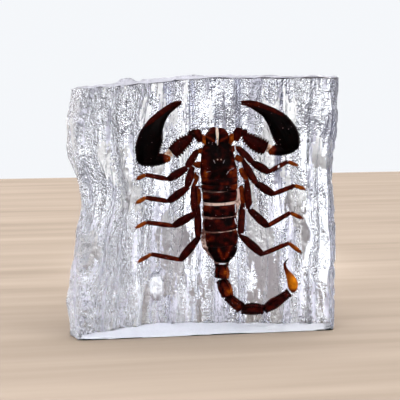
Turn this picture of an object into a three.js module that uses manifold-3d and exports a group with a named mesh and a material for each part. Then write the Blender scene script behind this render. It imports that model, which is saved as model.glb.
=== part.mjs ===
// A scorpion cast in a rough-hewn block of clear resin.
// Millimetres, +Z up. The polished front face looks towards -Y, and the origin lies
// under the middle of the block's flat base. The scorpion lies upright in the block
// with its back to the front face, its head up and its sting at the lower right.

import * as THREE from 'three';
import { mergeVertices } from 'three/addons/utils/BufferGeometryUtils.js';
import Module from 'manifold-3d';

const wasm = await Module();
wasm.setup();

// ---------------------------------------------------------------- driving dimensions

const BLOCK_HEIGHT = 100;
const TOP_SLOPE = 0.08; // the top falls by this much per mm on the left of the middle
const FRONT_Y = -16.5; // polished front face
const SCORPION_DEPTH = 11; // from the front face to the middle of the animal
const PARTING_Y = FRONT_Y + SCORPION_DEPTH;
const CLEARANCE = 0.4; // between the scorpion and its pocket

const HEIGHT_STEPS = 15;
const FLUTE_PITCH = 9.6; // upright flutes hewn into the sides and back
const FLUTE_DEPTH = 0.6;
const WIDE_FLUTE_PITCH = 15.7; // broader flutes that cross them
const WIDE_FLUTE_DEPTH = 0.7;
const LEDGE_PITCH = 27; // swells and hollows, deep up the two sides and shallow at the back
const LEDGE_DEPTH = { back: 0.15, sides: 0.8 };
const CREST_DEPTH = 0.5; // unevenness of the broken top edge

const LEFT_WAIST = { height: 54, depth: 6.1, below: 24, above: 16 };
const RIGHT_WAIST = { height: 63, depth: 1.9, below: 14, above: 11 };
const LEFT_SHOULDER = { start: 82, end: 95, depth: 2.6 };

// Corners of the base, anticlockwise from above. Each line gives the place, the number
// of pieces to the next corner, how much of the left and of the right waist pulls the
// corner in, and how rough the hewn surface is there (the front stays flat).
const FOOTPRINT = [
  { x: -49, y: FRONT_Y, pieces: 2, left: 0.3, right: 0, rough: 0 },
  { x: 52, y: FRONT_Y, pieces: 4, left: 0, right: 1, rough: 0 },
  { x: 52.5, y: -1, pieces: 13, left: 0, right: 1, rough: 0.7 },
  { x: 2, y: 13.5, pieces: 6, left: 0, right: 0, rough: 1 },
  { x: -18, y: 15.5, pieces: 6, left: 0.1, right: 0, rough: 1 },
  { x: -35, y: 5, pieces: 6, left: 0.6, right: 0, rough: 1 },
  { x: -52.8, y: -5.5, pieces: 4, left: 1, right: 0, rough: 0.6 },
];

// ------------------------------------------------------------------- small helpers

const smooth = (a, b, t) => THREE.MathUtils.smoothstep(t, a, b);
const mix = THREE.MathUtils.lerp;

// A closed geometry as a manifold solid, with its shared corners merged.
function solid(geometry) {
  const bare = geometry.clone();
  bare.deleteAttribute('normal');
  bare.deleteAttribute('uv');
  const merged = mergeVertices(bare, 1e-4);
  return new wasm.Manifold(new wasm.Mesh({
    numProp: 3,
    vertProperties: Float32Array.from(merged.attributes.position.array),
    triVerts: Uint32Array.from(merged.index.array),
  }));
}

// A manifold solid back as a geometry.
function geometryOf(manifold) {
  const mesh = manifold.getMesh();
  const geometry = new THREE.BufferGeometry();
  geometry.setAttribute('position', new THREE.BufferAttribute(mesh.vertProperties, 3));
  geometry.setIndex(new THREE.BufferAttribute(mesh.triVerts, 1));
  geometry.computeVertexNormals();
  return geometry;
}

const join = (solids) => solids.reduce((whole, next) => whole.add(next));

// The largest body of a solid: slivers cut off between neighbouring sleeves drop out.
const largest = (whole) => whole.decompose().sort((a, b) => b.volume() - a.volume())[0];

// -------------------------------------------------------------------- resin block

// How far a waist pulls the side in at height z.
function waistAt(waist, z) {
  const reach = z < waist.height ? waist.below : waist.above;
  return waist.depth * Math.exp(-(((z - waist.height) / reach) ** 2));
}

// How far the hewn surface stands out at s mm along the base's edge and height z. The
// ledges deepen with hold, which is 1 where a waist pulls the side in fully.
function reliefAt(s, z, hold) {
  const flute = Math.sin((2 * Math.PI * s) / FLUTE_PITCH + 0.7 * Math.sin(z / 23));
  const wide = Math.sin((2 * Math.PI * s) / WIDE_FLUTE_PITCH + 0.6 * Math.sin(z / 31) + 1);
  const ledge = Math.sin((2 * Math.PI * z) / LEDGE_PITCH + 2 * Math.sin(s / 13));
  const ledgeDepth = mix(LEDGE_DEPTH.back, LEDGE_DEPTH.sides, hold);
  return FLUTE_DEPTH * flute + WIDE_FLUTE_DEPTH * wide + ledgeDepth * ledge;
}

// The base's edge as a ring of points, each with its place s along the edge.
function footprintRing() {
  const ring = [];
  let s = 0;
  FOOTPRINT.forEach((from, i) => {
    const to = FOOTPRINT[(i + 1) % FOOTPRINT.length];
    const length = Math.hypot(to.x - from.x, to.y - from.y);
    for (let k = 0; k < from.pieces; k += 1) {
      const t = k / from.pieces;
      ring.push({
        x: mix(from.x, to.x, t),
        y: mix(from.y, to.y, t),
        left: mix(from.left, to.left, t),
        right: mix(from.right, to.right, t),
        rough: mix(from.rough, to.rough, t),
        s: s + t * length,
      });
    }
    s += length;
  });
  ring.forEach((point, i) => {
    const before = ring[(i + ring.length - 1) % ring.length];
    const after = ring[(i + 1) % ring.length];
    const out = new THREE.Vector2(after.y - before.y, before.x - after.x).normalize();
    point.outX = out.x;
    point.outY = out.y;
  });
  return ring;
}

// The whole block: a cylinder's grid wrapped round the footprint and then hewn.
function blockGeometry() {
  const ring = footprintRing();
  const count = ring.length;
  const geometry = new THREE.CylinderGeometry(1, 1, 1, count, HEIGHT_STEPS);
  const place = geometry.attributes.position;
  for (let i = 0; i < place.count; i += 1) {
    const level = place.getY(i) + 0.5;
    const turn = Math.atan2(place.getX(i), place.getZ(i)) / (2 * Math.PI);
    const onAxis = Math.hypot(place.getX(i), place.getZ(i)) < 0.5;
    const at = onAxis ? { x: 4, y: -4 } : ring[Math.round((turn + 1) * count) % count];
    const z = level * (BLOCK_HEIGHT - TOP_SLOPE * Math.max(0, -at.x));
    if (onAxis) {
      place.setXYZ(i, at.x, at.y, z);
    } else {
      const pulledIn = at.left * waistAt(LEFT_WAIST, z) - at.right * waistAt(RIGHT_WAIST, z);
      const leftEdge = smooth(0, 1, -at.x / 40);
      const shoulder = leftEdge * LEFT_SHOULDER.depth * smooth(LEFT_SHOULDER.start, LEFT_SHOULDER.end, z);
      const out = at.rough * reliefAt(at.s, z, Math.max(at.left, at.right));
      const crest = level === 1 ? CREST_DEPTH * (Math.sin(at.s / 2.7) - 1) : 0;
      place.setXYZ(i, at.x + pulledIn + shoulder + out * at.outX, at.y + out * at.outY, z + crest);
    }
  }
  return geometry;
}

// One half of the block, in front of or behind the parting plane, without its pocket.
function halfSpace(side) {
  const reach = 200;
  const box = new THREE.BoxGeometry(reach, reach, reach);
  box.translate(0, PARTING_Y + (side * reach) / 2, reach / 4);
  return solid(box);
}

// ----------------------------------------------------------------------- scorpion

// Carries an elliptical section through stations [x, z, rise, half width, half thickness].
// Rise is towards the front face from the parting plane. The section is mitred where the
// line bends, and spare widens it all round and at both ends.
function limb(stations, sides, spare = 0) {
  const last = stations.length - 1;
  const lines = stations.map(([x, z]) => new THREE.Vector2(x, z));
  const heading = (i) => lines[i + 1].clone().sub(lines[i]).normalize();
  const wide = spare > 0 ? 1 / Math.cos(Math.PI / sides) : 1;
  const geometry = new THREE.CylinderGeometry(1, 1, 1, sides, last);
  const place = geometry.attributes.position;
  for (let i = 0; i < place.count; i += 1) {
    const k = Math.round((place.getY(i) + 0.5) * last);
    const before = heading(Math.max(0, k - 1));
    const after = heading(Math.min(last - 1, k));
    const along = before.clone().add(after).normalize();
    const mitre = 1 / along.dot(after);
    const ends = k === 0 ? -spare : k === last ? spare : 0;
    const [x, z, rise, halfWidth, halfThickness] = stations[k];
    const across = place.getX(i) * (halfWidth + spare) * wide * mitre;
    const through = place.getZ(i) * (halfThickness + spare) * wide;
    place.setXYZ(
      i,
      x + along.y * across + along.x * ends,
      PARTING_Y - rise - through,
      z - along.x * across + along.y * ends,
    );
  }
  return solid(geometry);
}

// Stations of a bar that swells between two joints.
function bar(from, to, radius, shape, flat = 1) {
  const [x0, z0, rise0 = 0] = from;
  const [x1, z1, rise1 = 0] = to;
  return shape.map(([t, swell]) => [
    mix(x0, x1, t), mix(z0, z1, t), mix(rise0, rise1, t), radius * swell, radius * swell * flat,
  ]);
}

// Shapes of single links, as pairs of share along the link and swell.
const ROOT = [[-0.03, 0.8], [0.2, 1], [1.02, 0.7]];
const THIGH = [[0, 0.7], [0.3, 1], [0.75, 0.95]];
const SHANK = [[0, 0.65], [0.3, 1], [0.75, 0.9]];
const SHIN = [[0, 0.7], [0.25, 1], [1, 0.7]];
const BARREL = [[0, 0.78], [0.22, 0.98], [0.78, 1], [1, 0.8]];

// Walking legs: hip, knee, second knee, ankle and toe as [x, z, rise].
const LEGS = [
  { hip: [0, 72.5, -1], knee: [-6, 65.5, 1], shin: [-12.5, 60.5, 1], ankle: [-22, 62.5, -0.5], toe: [-25, 61, -1.5] },
  { hip: [-2.5, 66, -1], knee: [-6, 57, 1], shin: [-12.5, 52, 1], ankle: [-22, 53.5, -0.5], toe: [-25.5, 51, -1.5] },
  { hip: [-3, 60, -1], knee: [-2.8, 47, 1], shin: [-11, 42, 1], ankle: [-21.5, 44, -0.5], toe: [-25.5, 42, -1.5] },
  { hip: [-1.3, 56, -2], knee: [-1.3, 37.5, 0], shin: [-8.5, 29, 1], ankle: [-20, 31, -0.5], toe: [-25, 28, -1.5] },
  { hip: [13, 73, -1], knee: [19.5, 67.5, 1], shin: [26, 63, 1], ankle: [34.5, 66.5, -0.5], toe: [38, 65, -1.5] },
  { hip: [15.5, 68, -1], knee: [21, 59, 1], shin: [28, 53.5, 1], ankle: [37, 57, -0.5], toe: [41.5, 55.5, -1.5] },
  { hip: [17.5, 61.5, -1], knee: [18.6, 48.5, 1], shin: [26, 41, 1], ankle: [35.5, 46.5, -0.5], toe: [40, 44, -1.5] },
  { hip: [15.8, 57.5, -2], knee: [16.2, 38.5, 0], shin: [24, 30, 1], ankle: [35, 34, -0.5], toe: [40, 30, -1.5] },
];
const LEG_ROOTS = [[4, 70], [3, 64], [2, 59], [3, 55], [9, 70], [10, 64], [11, 59], [10.5, 55]];
const THIGH_RADIUS = 1.25;
const SHIN_RADIUS = 0.75;
const TOE_RADIUS = 0.35;

// Claws: upper arm and forearm joints, then the hand and its fixed finger as stations
// [x, z, rise, half width, half thickness], and the moving finger that lies along it.
const CLAWS = [
  {
    shoulder: [1.5, 75.5], elbow: [-4, 78], bend: [-13, 68.8], wrist: [-23, 67.6],
    hand: [
      [-21.6, 66.6, 0, 2.8, 1.8], [-21.4, 69.6, 0, 4.15, 2.6], [-20.9, 74, 0, 4.7, 3], [-19.5, 78.3, 0, 4.25, 2.8],
      [-17.4, 82.1, 0, 3, 2.3], [-15, 84.9, 0, 1.7, 1.6], [-11.4, 87.8, 0, 0.9, 1], [-8, 89.7, 0, 0.45, 0.5],
    ],
    finger: [
      [-22.4, 79.4, 0.6, 0.8, 1.2], [-20, 82.8, 0.8, 1.2, 1.3], [-16, 86, 0.6, 1.2, 1.2],
      [-11.8, 89, 0.3, 1, 1], [-7.7, 90.4, 0.1, 0.35, 0.4],
    ],
  },
  {
    shoulder: [10.5, 75.5], elbow: [17.5, 77.8], bend: [26, 70.2], wrist: [35, 71.5],
    hand: [
      [34.8, 70.6, 0, 2.7, 1.8], [34.5, 73.4, 0, 4.2, 2.6], [33, 77.4, 0, 4.8, 3], [30.5, 81.3, 0, 4.3, 2.8],
      [27.3, 84.6, 0, 3.1, 2.3], [23.6, 86.8, 0, 1.9, 1.6], [19.4, 88.5, 0, 1, 1], [15.2, 89.4, 0, 0.45, 0.5],
    ],
    finger: [
      [34.2, 82.1, 0.6, 0.8, 1.2], [30.6, 84.9, 0.8, 1.2, 1.3], [26, 87.4, 0.6, 1.25, 1.2],
      [21, 89.3, 0.3, 1.1, 1], [15, 90.2, 0.1, 0.4, 0.4],
    ],
  },
];
const UPPER_ARM_RADIUS = 2.05;
const FOREARM_RADIUS = 1.9;

// Head shield, then the seven back plates as the line of their joints [x, z, half width].
const SHIELD = [
  [6, 75.4, 0, 4.7, 1.8], [6, 73, 0, 5.5, 2.7], [6, 67.5, 0, 6.6, 3.2], [6.6, 60.3, 0, 7.4, 3.4],
];
const SHIELD_LOBES = [[3.3, 73, 3.2, 76.4], [8.7, 73, 8.8, 76.4]];
const JAWS = [[3.9, 74, 3.7, 80], [8.1, 74, 8.3, 80]];
const JAW_RADIUS = 2.15;
const EYES = [[5.4, 68.2], [6.7, 68.2]];
const PLATE_LINE = [
  [6.7, 60.3, 7.4], [6.8, 57.4, 7.3], [6.9, 55.3, 7], [6.8, 50.8, 6.8], [7.3, 45.1, 6.7],
  [7.9, 39.6, 6.4], [8.1, 33.7, 5.5], [7.8, 26.8, 2.6],
];
const PLATE_LIP = 0.35; // each plate's rear edge stands over the next plate's front edge
const BODY_THICKNESS = 3.3; // half, at the widest plate

const TAIL_JOINTS = [[7.9, 27.6], [7.8, 20.3], [10.4, 13.3], [16.1, 8.2], [25, 8], [35.6, 14.4]];
const TAIL_RADII = [2.75, 2.5, 2, 2.3, 2];
const STING = [
  [35.8, 14.2, 0, 1.1, 1.2], [36.4, 16.4, 0, 1.75, 1.8], [36.3, 18.4, 0, 1.75, 1.8], [35.2, 20.8, 0, 1.2, 1.3],
  [34, 23.2, 0, 0.75, 0.8], [33.4, 25.2, 0, 0.55, 0.55], [33.8, 26.8, 0, 0.4, 0.4], [35, 27.8, 0, 0.15, 0.15],
];

function legSolids(leg, root) {
  const hip = [root[0], root[1], -1.8];
  return [
    limb(bar(hip, leg.hip, 1.5, ROOT), 5),
    limb([
      ...bar(leg.hip, leg.knee, THIGH_RADIUS, THIGH),
      ...bar(leg.knee, leg.shin, THIGH_RADIUS, SHANK),
      ...bar(leg.shin, leg.ankle, SHIN_RADIUS, SHIN),
      [...leg.toe, TOE_RADIUS, TOE_RADIUS],
    ], 6),
  ];
}

function clawSolids({ shoulder, elbow, bend, wrist, hand, finger }) {
  return [
    limb(bar(shoulder, elbow, 1.9, BARREL), 6),
    limb(bar(elbow, bend, UPPER_ARM_RADIUS, BARREL), 8),
    limb(bar(bend, wrist, FOREARM_RADIUS, BARREL), 8),
    limb(hand, 8),
    limb(finger, 6),
  ];
}

function bodySolids() {
  const plates = PLATE_LINE.slice(1).map(([x1, z1, w1], i) => {
    const [x0, z0, w0] = PLATE_LINE[i];
    const thick0 = BODY_THICKNESS * Math.min(1, 0.35 + w0 / 10);
    const thick1 = BODY_THICKNESS * Math.min(1, 0.35 + w1 / 10);
    return limb([
      [x0, z0 + 0.6, 0, w0 - PLATE_LIP, thick0 - PLATE_LIP], [x1, z1, 0, w1, thick1],
    ], 12);
  });
  const lobes = SHIELD_LOBES.map(([x0, z0, x1, z1]) => limb([
    [x0, z0, 0, 2.5, 2.4], [x1, z1 - 0.8, 0, 2.2, 1.8], [x1, z1, 0, 1.2, 1],
  ], 8));
  const jaws = JAWS.map(([x0, z0, x1, z1]) => limb(bar([x0, z0], [x1, z1], JAW_RADIUS, [
    [0, 1], [0.5, 1], [0.85, 0.75], [1, 0.3],
  ]), 8));
  const eyes = EYES.map(([x, z]) => {
    const eye = new THREE.SphereGeometry(0.6, 6, 4);
    eye.translate(x, PARTING_Y - 3.3, z);
    return solid(eye);
  });
  return [limb(SHIELD, 12), ...plates, ...lobes, ...jaws, ...eyes];
}

function tailSolids() {
  const rings = TAIL_RADII.map((radius, i) => limb(bar(TAIL_JOINTS[i], TAIL_JOINTS[i + 1], radius, BARREL), 8));
  return [...rings, limb(STING, 6)];
}

function scorpionSolid() {
  return join([
    ...bodySolids(),
    ...tailSolids(),
    ...CLAWS.flatMap(clawSolids),
    ...LEGS.flatMap((leg, i) => legSolids(leg, LEG_ROOTS[i])),
  ]);
}

// ------------------------------------------------------------------------- pocket

// The scorpion's hollow in the resin: plain sleeves that clear each limb.
function pocketSolid() {
  const body = [
    ...[[6, 80.2, 5], [6, 76, 5.3], [6, 73, 5.6], [6, 67.5, 6.6], [6.6, 60.3, 7.4]].map(
      ([x, z, w]) => [x, z, 0, w, 3.9],
    ),
    ...PLATE_LINE.slice(3).map(([x, z, w]) => [x, z, 0, w + 0.1, 3.4]),
  ];
  const tail = TAIL_JOINTS.map(([x, z], i) => {
    const radius = Math.max(TAIL_RADII[i] ?? 0, TAIL_RADII[i - 1] ?? 0);
    return [x, z, 0, radius, radius];
  });
  const claws = CLAWS.flatMap(({ shoulder, elbow, bend, wrist, hand, finger }) => [
    limb([shoulder, elbow, bend, wrist].map(([x, z]) => [x, z, 0, 2.1, 2.1]), 6, CLEARANCE),
    limb(hand, 7, CLEARANCE),
    limb(finger, 5, CLEARANCE),
  ]);
  const legs = LEGS.flatMap((leg, i) => [
    limb([
      [...LEG_ROOTS[i], -1.6, 1.6, 1.6], [...leg.hip, 1.7, 1.7],
    ], 5, CLEARANCE),
    limb([
      [...leg.hip, 1.3, 1.3], [...leg.knee, 1.3, 1.3], [...leg.shin, 1.3, 1.3],
    ], 6, CLEARANCE),
    limb([
      [...leg.shin, 1, 1], [...leg.ankle, 0.75, 0.75], [...leg.toe, 0.5, 0.5],
    ], 5, CLEARANCE),
  ]);
  return join([limb(body, 10, CLEARANCE), limb(tail, 7, CLEARANCE), limb(STING, 6, CLEARANCE), ...claws, ...legs]);
}

// -------------------------------------------------------------------- scene graph

const scorpionMaterial = new THREE.MeshStandardMaterial({ color: 0x2c0d07, roughness: 0.45, metalness: 0 });
const resinMaterial = new THREE.MeshStandardMaterial({
  color: 0xe6e9f2, roughness: 0.12, metalness: 0, transparent: true, opacity: 0.35,
});

function namedMesh(name, manifold, material) {
  const mesh = new THREE.Mesh(geometryOf(manifold), material);
  mesh.name = name;
  return mesh;
}

const block = solid(blockGeometry());
const pocket = pocketSolid();
const frontHalf = largest(block.intersect(halfSpace(-1)).subtract(pocket));
const backHalf = largest(block.intersect(halfSpace(1)).subtract(pocket));

const part = new THREE.Group();
part.add(namedMesh('scorpion', scorpionSolid(), scorpionMaterial));
part.add(namedMesh('resin_front', frontHalf, resinMaterial));
part.add(namedMesh('resin_back', backHalf, resinMaterial.clone()));

export default part;
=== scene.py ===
# %% [markdown]
# A scorpion in a rough-hewn block of clear resin.
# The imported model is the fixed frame: every piece made here is worked out in millimetres
# in that frame and turned into metres only when its mesh is filled. The real ornament is
# two things, a dried scorpion and the resin cast round it, so the lesson makes the clear
# block first, then the animal from its head to its sting, and last the studio.

# %% Load the frame and measure it
import math

import bpy
import numpy as np
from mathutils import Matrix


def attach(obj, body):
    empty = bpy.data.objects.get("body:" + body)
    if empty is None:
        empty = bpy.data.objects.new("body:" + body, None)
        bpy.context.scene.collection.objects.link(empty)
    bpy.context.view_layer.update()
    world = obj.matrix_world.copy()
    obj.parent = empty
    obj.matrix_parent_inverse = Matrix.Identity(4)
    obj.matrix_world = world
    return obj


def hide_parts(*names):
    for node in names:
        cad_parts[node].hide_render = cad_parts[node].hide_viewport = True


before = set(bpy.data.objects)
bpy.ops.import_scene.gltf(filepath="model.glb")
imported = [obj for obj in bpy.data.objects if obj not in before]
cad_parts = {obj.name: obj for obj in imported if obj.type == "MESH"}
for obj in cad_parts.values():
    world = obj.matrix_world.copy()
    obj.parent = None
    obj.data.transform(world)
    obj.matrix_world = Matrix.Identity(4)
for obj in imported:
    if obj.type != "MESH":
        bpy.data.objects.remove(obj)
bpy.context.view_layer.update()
MM = 0.001

# %% [markdown]
# The camera stands a little to the left of the block and a little above its top, about
# 0.41 m away, with a lens of roughly 98 mm. It is made before the pieces.

# %% Camera
CAMERA_PLACE = np.array([-66.0, -423.4, 112.4])
CAMERA_PITCH = math.radians(8.18)
CAMERA_YAW = math.radians(8.95)
LENS = 97.9


def add_camera():
    """Pitch tips the view down from level, yaw turns it to the right of +Y."""
    data = bpy.data.cameras.new("camera")
    data.lens = LENS
    camera = bpy.data.objects.new("camera", data)
    camera.location = CAMERA_PLACE * MM
    camera.rotation_euler = (math.pi / 2 - CAMERA_PITCH, 0, -CAMERA_YAW)
    bpy.context.scene.collection.objects.link(camera)
    bpy.context.scene.camera = camera
    return camera


camera = add_camera()
print("camera at", [round(v, 3) for v in camera.location])

# %% [markdown]
# Every new piece is made of closed shells, and every shell is a grid: rows run along it
# and columns run round it. One helper turns such grids into a mesh. The columns wrap
# round, each end row is closed by one pole, and whole arrays go into the mesh at once.
# A shell may carry a tone from 0 to 1 at each point, which a finish can read later.

# %% Shells to mesh
def build_mesh(name, shells, tones=None):
    """Face r,c of a shell joins (r, c), (r, c+1), (r+1, c+1), (r+1, c), columns counted
    round the ring. The poles are the means of the first and the last row."""
    places, shades, quads, caps, count = [], [], [], [], 0
    for k, points in enumerate(shells):
        rows, columns = points.shape[:2]
        at = np.arange(rows * columns).reshape(rows, columns) + count
        after = np.roll(at, -1, axis=1)
        first = np.full(columns, count + rows * columns)
        quads.append(np.stack([at[:-1], after[:-1], after[1:], at[1:]], axis=-1).reshape(-1, 4))
        caps.append(np.stack([after[0], at[0], first], axis=-1))
        caps.append(np.stack([at[-1], after[-1], first + 1], axis=-1))
        places += [points.reshape(-1, 3), points[:1].mean(1), points[-1:].mean(1)]
        if tones is not None:
            tone = np.broadcast_to(tones[k], (rows, columns))
            shades += [tone.ravel(), tone[:1].mean(1), tone[-1:].mean(1)]
        count += rows * columns + 2
    places = np.concatenate(places) * MM
    quads, caps = np.concatenate(quads), np.concatenate(caps)
    mesh = bpy.data.meshes.new(name)
    mesh.vertices.add(len(places))
    mesh.vertices.foreach_set("co", places.astype(np.float32).ravel())
    loops = np.concatenate([quads.ravel(), caps.ravel()]).astype(np.int32)
    sizes = np.concatenate([np.full(len(quads), 4), np.full(len(caps), 3)])
    mesh.loops.add(len(loops))
    mesh.loops.foreach_set("vertex_index", loops)
    mesh.polygons.add(len(sizes))
    starts = np.concatenate([[0], np.cumsum(sizes)[:-1]]).astype(np.int32)
    mesh.polygons.foreach_set("loop_start", starts)
    mesh.polygons.foreach_set("use_smooth", np.ones(len(sizes), bool))
    if tones is not None:
        layer = mesh.attributes.new("tone", "FLOAT", "POINT")
        layer.data.foreach_set("value", np.concatenate(shades).astype(np.float32))
    mesh.update(calc_edges=True)
    piece = bpy.data.objects.new(name, mesh)
    bpy.context.scene.collection.objects.link(piece)
    return piece


# %% [markdown]
# The hewn faces of the block are upright flutes, ledges, chips and grain, and the horn
# of the scorpion is beaded. Both come from chance, so no single wave describes them.
# Two kinds of noise are enough: a smooth one for slow changes, and the distance to
# scattered seeds, which makes dishes with sharp rims on the resin and beads on the horn.

# %% Noise
def lattice_noise(x, y, seed):
    """Random heights from -1 to 1 at whole-number corners, eased between them.

    With u, v the place inside a cell and e(t) = t*t*(3 - 2t), the value is the mean of
    the four corners weighted by e(u) and e(v).
    """
    table = np.random.default_rng(seed).uniform(-1, 1, (256, 256))
    i, j = np.floor(x).astype(int), np.floor(y).astype(int)
    u, v = x - i, y - j
    u, v = u * u * (3 - 2 * u), v * v * (3 - 2 * v)
    low = table[i % 256, j % 256] * (1 - u) + table[(i + 1) % 256, j % 256] * u
    high = table[i % 256, (j + 1) % 256] * (1 - u) + table[(i + 1) % 256, (j + 1) % 256] * u
    return low * (1 - v) + high * v


def seed_distance(x, y, seed, wrap=97):
    """Squared distance, in cells, to the nearest seed. One seed sits at a random place in
    each cell, and the cells repeat after wrap of them in y, so a ring can close."""
    jitter = np.random.default_rng(seed).uniform(-0.45, 0.45, (2, 97, wrap))
    i, j = np.floor(x).astype(int), np.floor(y).astype(int)
    nearest = np.full(np.broadcast(x, y).shape, 4.0)
    for di in (-1, 0, 1):
        for dj in (-1, 0, 1):
            a, b = i + di, j + dj
            dx = x - (a + 0.5 + jitter[0, a % 97, b % wrap])
            dy = y - (b + 0.5 + jitter[1, a % 97, b % wrap])
            nearest = np.minimum(nearest, dx * dx + dy * dy)
    return nearest


trial = seed_distance(*np.mgrid[0:9:0.1, 0:9:0.1], seed=1)
print("seed distance: mean", trial.mean().round(2), "most", trial.max().round(2))

# %% [markdown]
# The block is a wedge in plan: flat in front, a short cheek on the left, a long hewn face
# slanting to the back, and a thin right side. The footprint's corners and the waists at
# the sides are the same as in the frame's own solids, so that the clear piece fits them.

# %% Footprint of the block
BLOCK_HEIGHT = 100.0
TOP_SLOPE = 0.08
FRONT_Y = -16.5
LEFT_WAIST = dict(height=54.0, depth=6.1, below=24.0, above=16.0)
RIGHT_WAIST = dict(height=63.0, depth=1.9, below=14.0, above=11.0)
SHOULDER = dict(start=82.0, end=95.0, depth=2.6)
# x, y, pull of the left waist, pull of the right waist, roughness
FOOTPRINT = np.array([
    [-49.0, FRONT_Y, 0.3, 0.0, 0.0],
    [52.0, FRONT_Y, 0.0, 1.0, 0.0],
    [52.5, -1.0, 0.0, 1.0, 0.7],
    [2.0, 13.5, 0.0, 0.0, 1.0],
    [-18.0, 15.5, 0.1, 0.0, 1.0],
    [-35.0, 5.0, 0.6, 0.0, 1.0],
    [-52.8, -5.5, 1.0, 0.0, 0.6],
])
FRONT_WIDTH = FOOTPRINT[1, 0] - FOOTPRINT[0, 0]
FRONT_COLUMNS, HEWN_COLUMNS = 36, 364


def footprint_ring():
    """Arc length s runs round the corners; every value is drawn straight between them."""
    corners = np.concatenate([FOOTPRINT, FOOTPRINT[:1]])
    steps = np.hypot(*np.diff(corners[:, :2], axis=0).T)
    at = np.concatenate([[0], np.cumsum(steps)])
    s = np.concatenate([
        at[1] * (1 - np.cos(np.linspace(0, np.pi, FRONT_COLUMNS, endpoint=False))) / 2,
        np.linspace(at[1], at[-1], HEWN_COLUMNS, endpoint=False),
    ])
    values = np.stack([np.interp(s, at, corners[:, k]) for k in range(5)], axis=1)
    reach = 2.5
    ahead = np.stack([np.interp((s + reach) % at[-1], at, corners[:, k]) for k in (0, 1)], 1)
    behind = np.stack([np.interp((s - reach) % at[-1], at, corners[:, k]) for k in (0, 1)], 1)
    along = ahead - behind
    out = np.stack([along[:, 1], -along[:, 0]], axis=1)
    out /= np.linalg.norm(out, axis=1, keepdims=True)
    return s, values, out, at[-1]


ring_s, ring_values, ring_out, ring_length = footprint_ring()
print("base edge, mm:", round(ring_length, 1))

# %% [markdown]
# The sides and the back are hewn: a tool struck off upright flakes and left flutes,
# ledges and pits. The large forms are sine waves, the same as in the frame's solids, so
# that both agree. The small ones are dishes with sharp rims, each the squared distance to
# a scattered seed. A bump alone would not do, because clear resin shows its true shape
# in every streak that it bends.

# %% Relief of the hewn faces
def waist(shape, z):
    """A bell curve: depth * exp(-((z - height) / reach)^2), wider below than above."""
    reach = np.where(z < shape["height"], shape["below"], shape["above"])
    return shape["depth"] * np.exp(-(((z - shape["height"]) / reach) ** 2))


def ease(low, high, t):
    """0 below low, 1 above high, and 3u^2 - 2u^3 between."""
    u = np.clip((t - low) / (high - low), 0, 1)
    return u * u * (3 - 2 * u)


def broad_relief(s, z, hold):
    """The frame's own flutes and ledges: slow sine waves that lean on each other. The
    ledges are deep at the two sides, where hold is 1, and shallow across the back."""
    flute = np.sin(2 * np.pi * s / 9.6 + 0.7 * np.sin(z / 23))
    wide = np.sin(2 * np.pi * s / 15.7 + 0.6 * np.sin(z / 31) + 1)
    ledge = np.sin(2 * np.pi * z / 27 + 2 * np.sin(s / 13))
    return 0.6 * flute + 0.7 * wide + (0.15 + 0.65 * hold) * ledge


def fine_relief(s, z, x):
    """Dishes of three sizes, each a squared distance to the nearest seed: long upright
    flakes, chips, and hammered pits. The chips lean and deepen towards the left."""
    left = ease(2, -30, x)
    lean = s + 1.2 * lattice_noise(s / 9, z / 26, 11) + 0.16 * left * z
    flakes = 1.5 * seed_distance(lean / 4.2, z / 34, 12)
    chips = (0.5 + 0.35 * left) * seed_distance(lean / 2.0, z / (12 - 5 * left), 13)
    pits = 0.16 * seed_distance(s / 1.0, z / 2.4, 19) + 0.1 * lattice_noise(s / 0.8, z / 1.5, 15)
    return flakes + chips + pits - 0.7


# %% [markdown]
# The wall of the block is the footprint carried up 100 mm, pulled in at the waists and
# pushed out by the relief. The base is sawn flat. The top is broken off, so its rim is
# ragged and its middle is uneven. All of it is one grid: rows run from the middle of the
# base, up the wall, and in again to the middle of the top.

# %% Resin block
WALL_ROWS, BASE_ROWS, TOP_ROWS = 215, 8, 16
MIDDLE = np.array([4.0, -4.0])
TOP_DROP = 0.55
CREST = dict(x=-29.0, reach=2.4, height=1.9)
CHIP = dict(x=-16.5, z=15.0, half_width=2.6, half_height=5.2, depth=0.9)


def edge_chips(s, z):
    """Loss at the two front corners: the part of a noise above zero, which fades with the
    distance d from the corner as exp(-d / 1.1) on the left and exp(-d / 0.8) on the right."""
    to_left = np.minimum(s, ring_length - s)
    to_right = np.abs(s - FRONT_WIDTH)
    left = np.maximum(0, 0.25 + lattice_noise(z / 1.7 + 0 * s, 0 * z + s / 3, 21))
    right = np.maximum(0, lattice_noise(z / 2.2 + 0 * s, 0 * z + s / 3, 22))
    return 1.7 * left * np.exp(-to_left / 1.1) + 0.7 * right * np.exp(-to_right / 0.8)


def chip_distance(x, z):
    """Under 1 inside a six-sided flake struck off the back near the base: the largest of
    |u|, |v| and (|u| + |v|) / 1.5, u and v being measured in half widths from its middle."""
    u = np.abs(x - CHIP["x"]) / CHIP["half_width"]
    v = np.abs(z - CHIP["z"]) / CHIP["half_height"]
    return np.maximum(np.maximum(u, v), (u + v) / 1.5)


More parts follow.
